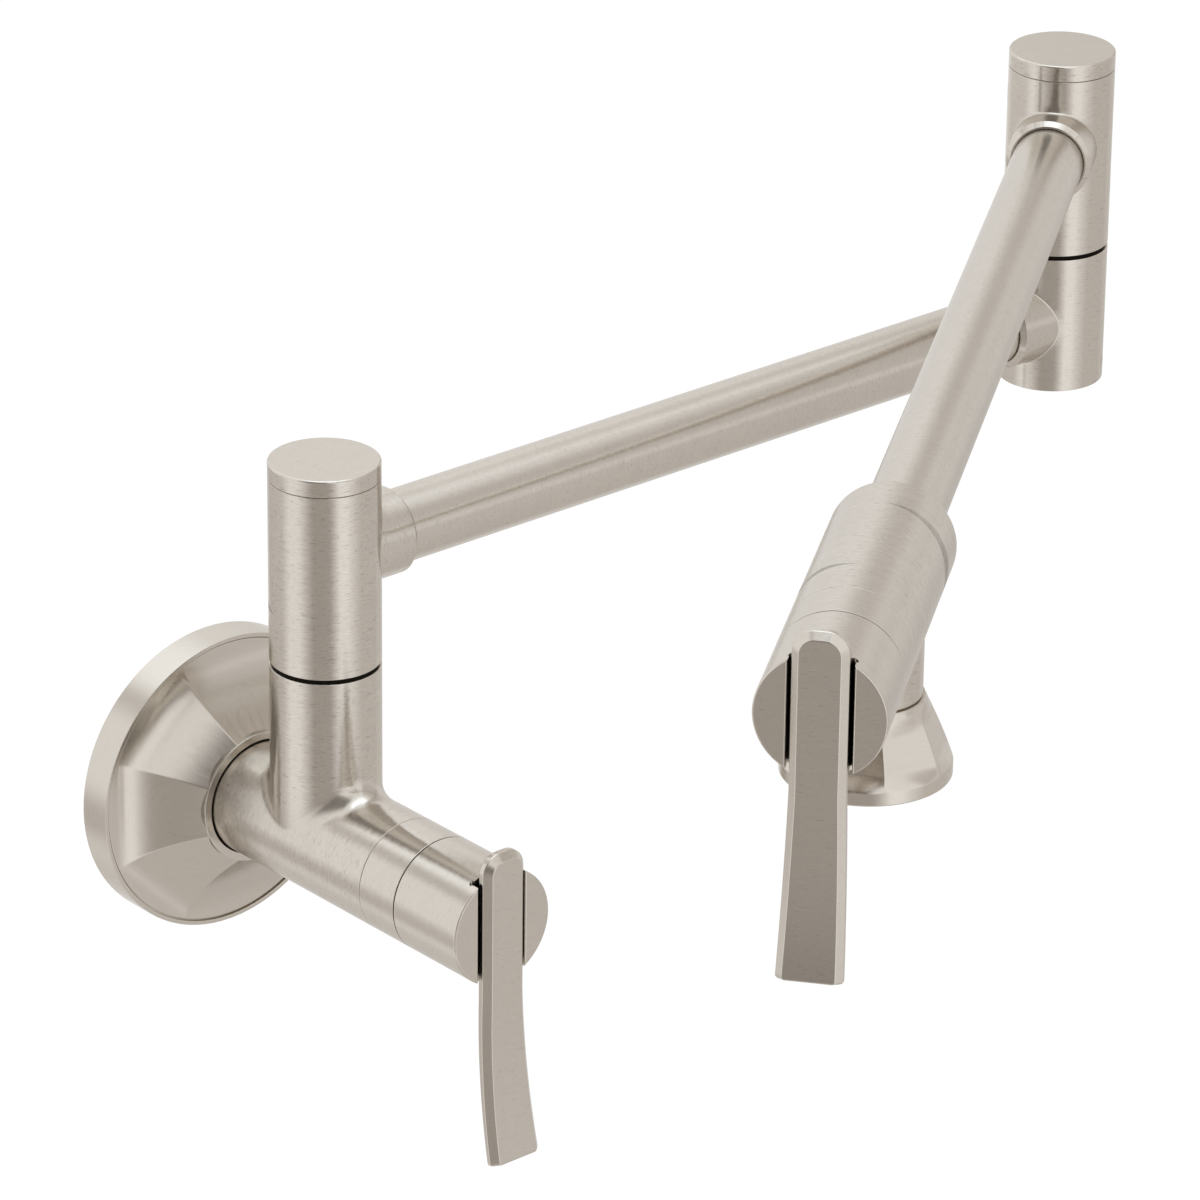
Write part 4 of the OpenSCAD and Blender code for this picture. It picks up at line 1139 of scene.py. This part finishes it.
class POTFILLER_OT_studio(bpy.types.Operator):
    """Set up the floor, the reflector cards, the lamp, the room light and the camera"""
    bl_idname = "potfiller.studio"
    bl_label = "Studio"

    def seen_level(self, nodes):
        """1 for what the camera sees straight, in gloss and through glass, else 0."""
        path = nodes.add("ShaderNodeLightPath").outputs
        seen = nodes.math("MAXIMUM", path["Is Camera Ray"], path["Is Glossy Ray"])
        return nodes.math("MAXIMUM", seen, path["Is Transmission Ray"])

    def floor(self, studio):
        corners = [(x * FLOOR_HALF, y * FLOOR_HALF, -studio.floor_drop)
                   for x, y in ((-1, -1), (1, -1), (1, 1), (-1, 1))]
        floor = add_mesh("floor", corners, [(0, 1, 2, 3)])
        nodes = Nodes("Pale floor")
        speck = nodes.spread(nodes.noise(nodes.surface()[0], 60.0, 3.0), 0.0075, 0.9925)
        matte, shade = (
            nodes.add("ShaderNodeBsdfDiffuse", {"Color": nodes.tint(speck, base)}).outputs[0]
            for base in (studio.floor, FLOOR_SHADE))
        glow = nodes.add("ShaderNodeEmission", {"Strength": FLOOR_GLOW}).outputs[0]
        lit = nodes.add("ShaderNodeAddShader", {0: shade, 1: glow}).outputs[0]
        floor.data.materials.append(nodes.finish(nodes.blend(self.seen_level(nodes), matte, lit)))

    def card(self, studio, distance, name, west, east, low, high, level, fades):
        """A curved reflector card, seen only in gloss, that fades out at its edges."""
        down = (studio.floor_drop + CARD_CENTRE.z) * distance / studio.card_distance * ABOVE_FLOOR
        points, places = [], []
        for j in range(CARD_ROWS + 1):
            for i in range(CARD_COLUMNS + 1):
                place = i / CARD_COLUMNS, j / CARD_ROWS
                way = view_way(math.radians(west + (east - west) * place[0]),
                               math.radians(low + (high - low) * place[1]))
                points.append(tuple(CARD_CENTRE + way * min(distance, down / max(-way.z, 0.001))))
                places.append(place)
        wide = CARD_COLUMNS + 1
        faces = [(a, a + 1, a + wide + 1, a + wide)
                 for j in range(CARD_ROWS) for a in range(j * wide, j * wide + CARD_COLUMNS)]
        card = add_mesh(name, points, faces)
        layer = card.data.uv_layers.new(name="place")
        for loop in card.data.loops:
            layer.data[loop.index].uv = places[loop.vertex_index]
        nodes = Nodes(name)
        place = nodes.add("ShaderNodeTexCoord").outputs["UV"]
        sides = nodes.add("ShaderNodeSeparateXYZ", {0: place}).outputs
        mask = 1.0
        for side, span, fade in (("X", east - west, fades[:2]), ("Y", high - low, fades[2:])):
            mask = nodes.times(mask, nodes.ramp(sides[side], 0.0, fade[0] / span))
            mask = nodes.times(mask, nodes.ramp(sides[side], 1.0, 1 - fade[1] / span))
        shade = [level * (1 - share * min(1.0, (1 - level) / CARD_DIM)) for share in CARD_TINT]
        clear = nodes.add("ShaderNodeBsdfTransparent").outputs[0]
        glow = nodes.add("ShaderNodeEmission", {"Color": (*shade, 1), "Strength": 1.0}).outputs[0]
        card.data.materials.append(nodes.finish(nodes.blend(mask, clear, glow)))
        for ray in ("camera", "diffuse", "transmission", "volume_scatter", "shadow"):
            setattr(card, "visible_" + ray, False)

    def world(self, studio):
        nodes = Nodes("Studio room", "worlds")
        room, white = (
            nodes.add("ShaderNodeBackground", {"Color": (level, level, level, 1)}).outputs[0]
            for level in (studio.world_level, 1))
        mixed = nodes.blend(self.seen_level(nodes), room, white)
        nodes.add("ShaderNodeOutputWorld", {"Surface": mixed})
        bpy.context.scene.world = nodes.owner

    def lamp(self, studio):
        light = bpy.data.lights.new("key_lamp", "AREA")
        light.shape = "DISK"
        light.size = LAMP_SIZE
        light.energy = studio.key_power
        lamp = add_object("key_lamp", light)
        lamp.visible_glossy = False
        aim = (LAMP_PLACE - CARD_CENTRE).to_track_quat("Z", "Y")
        lamp.matrix_world = Matrix.Translation(LAMP_PLACE) @ aim.to_matrix().to_4x4()

    def camera(self, studio):
        back = view_way(studio.azimuth, studio.elevation)
        right = Vector((math.cos(studio.azimuth), math.sin(studio.azimuth), 0))
        spun = right * math.cos(studio.roll) + back.cross(right) * math.sin(studio.roll)
        data = bpy.data.cameras.new("camera")
        data.lens = studio.lens
        data.sensor_width = 36.0
        data.sensor_fit = "HORIZONTAL"
        data.clip_end = 100.0
        camera = add_object("camera", data)
        camera.matrix_world = frame_at(
            Vector(studio.target) + back * studio.distance, back.cross(spun), back)
        bpy.context.scene.camera = camera

    def execute(self, context):
        studio = context.scene.pot_filler_studio
        self.floor(studio)
        for place, row in enumerate(CARDS):
            self.card(studio, studio.card_distance - place * studio.card_step, *row)
        self.world(studio)
        self.lamp(studio)
        self.camera(studio)
        context.scene.view_settings.view_transform = "Standard"
        return {"FINISHED"}


class POTFILLER_PT_sidebar(bpy.types.Panel):
    """Sizes, finishes and studio of the pot filler"""
    bl_idname = "POTFILLER_PT_sidebar"
    bl_label = "Pot Filler"
    bl_space_type = "VIEW_3D"
    bl_region_type = "UI"
    bl_category = "Pot Filler"

    def draw(self, context):
        scene = context.scene
        for operator in OPERATORS:
            self.layout.operator(operator.bl_idname)
        for group_name in GROUPS:
            group = getattr(scene, group_name)
            box = self.layout.box()
            box.label(text=group_name.split("_")[-1].capitalize())
            for name in group.bl_rna.properties.keys():
                if name not in ("rna_type", "name"):
                    box.prop(group, name)


GROUPS = {
    "pot_filler_sizes": PotFillerSizes,
    "pot_filler_finish": PotFillerFinish,
    "pot_filler_studio": PotFillerStudio,
}
OPERATORS = (
    POTFILLER_OT_wall_flange, POTFILLER_OT_wall_body, POTFILLER_OT_barrels, POTFILLER_OT_caps,
    POTFILLER_OT_trim_rings, POTFILLER_OT_spout_body, POTFILLER_OT_nozzle, POTFILLER_OT_levers,
    POTFILLER_OT_arms, POTFILLER_OT_hubs, POTFILLER_OT_inner_works, POTFILLER_OT_studio,
)


def register():
    for cls in (*GROUPS.values(), *OPERATORS, POTFILLER_PT_sidebar):
        bpy.utils.register_class(cls)
    for name, cls in GROUPS.items():
        setattr(bpy.types.Scene, name, bpy.props.PointerProperty(type=cls))


def unregister():
    for name in GROUPS:
        delattr(bpy.types.Scene, name)
    for cls in (POTFILLER_PT_sidebar, *reversed(OPERATORS), *reversed(tuple(GROUPS.values()))):
        bpy.utils.unregister_class(cls)


def main():
    register()
    for operator in OPERATORS:
        group, name = operator.bl_idname.split(".")
        getattr(getattr(bpy.ops, group), name)()
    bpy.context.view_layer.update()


if __name__ == "__main__":
    main()
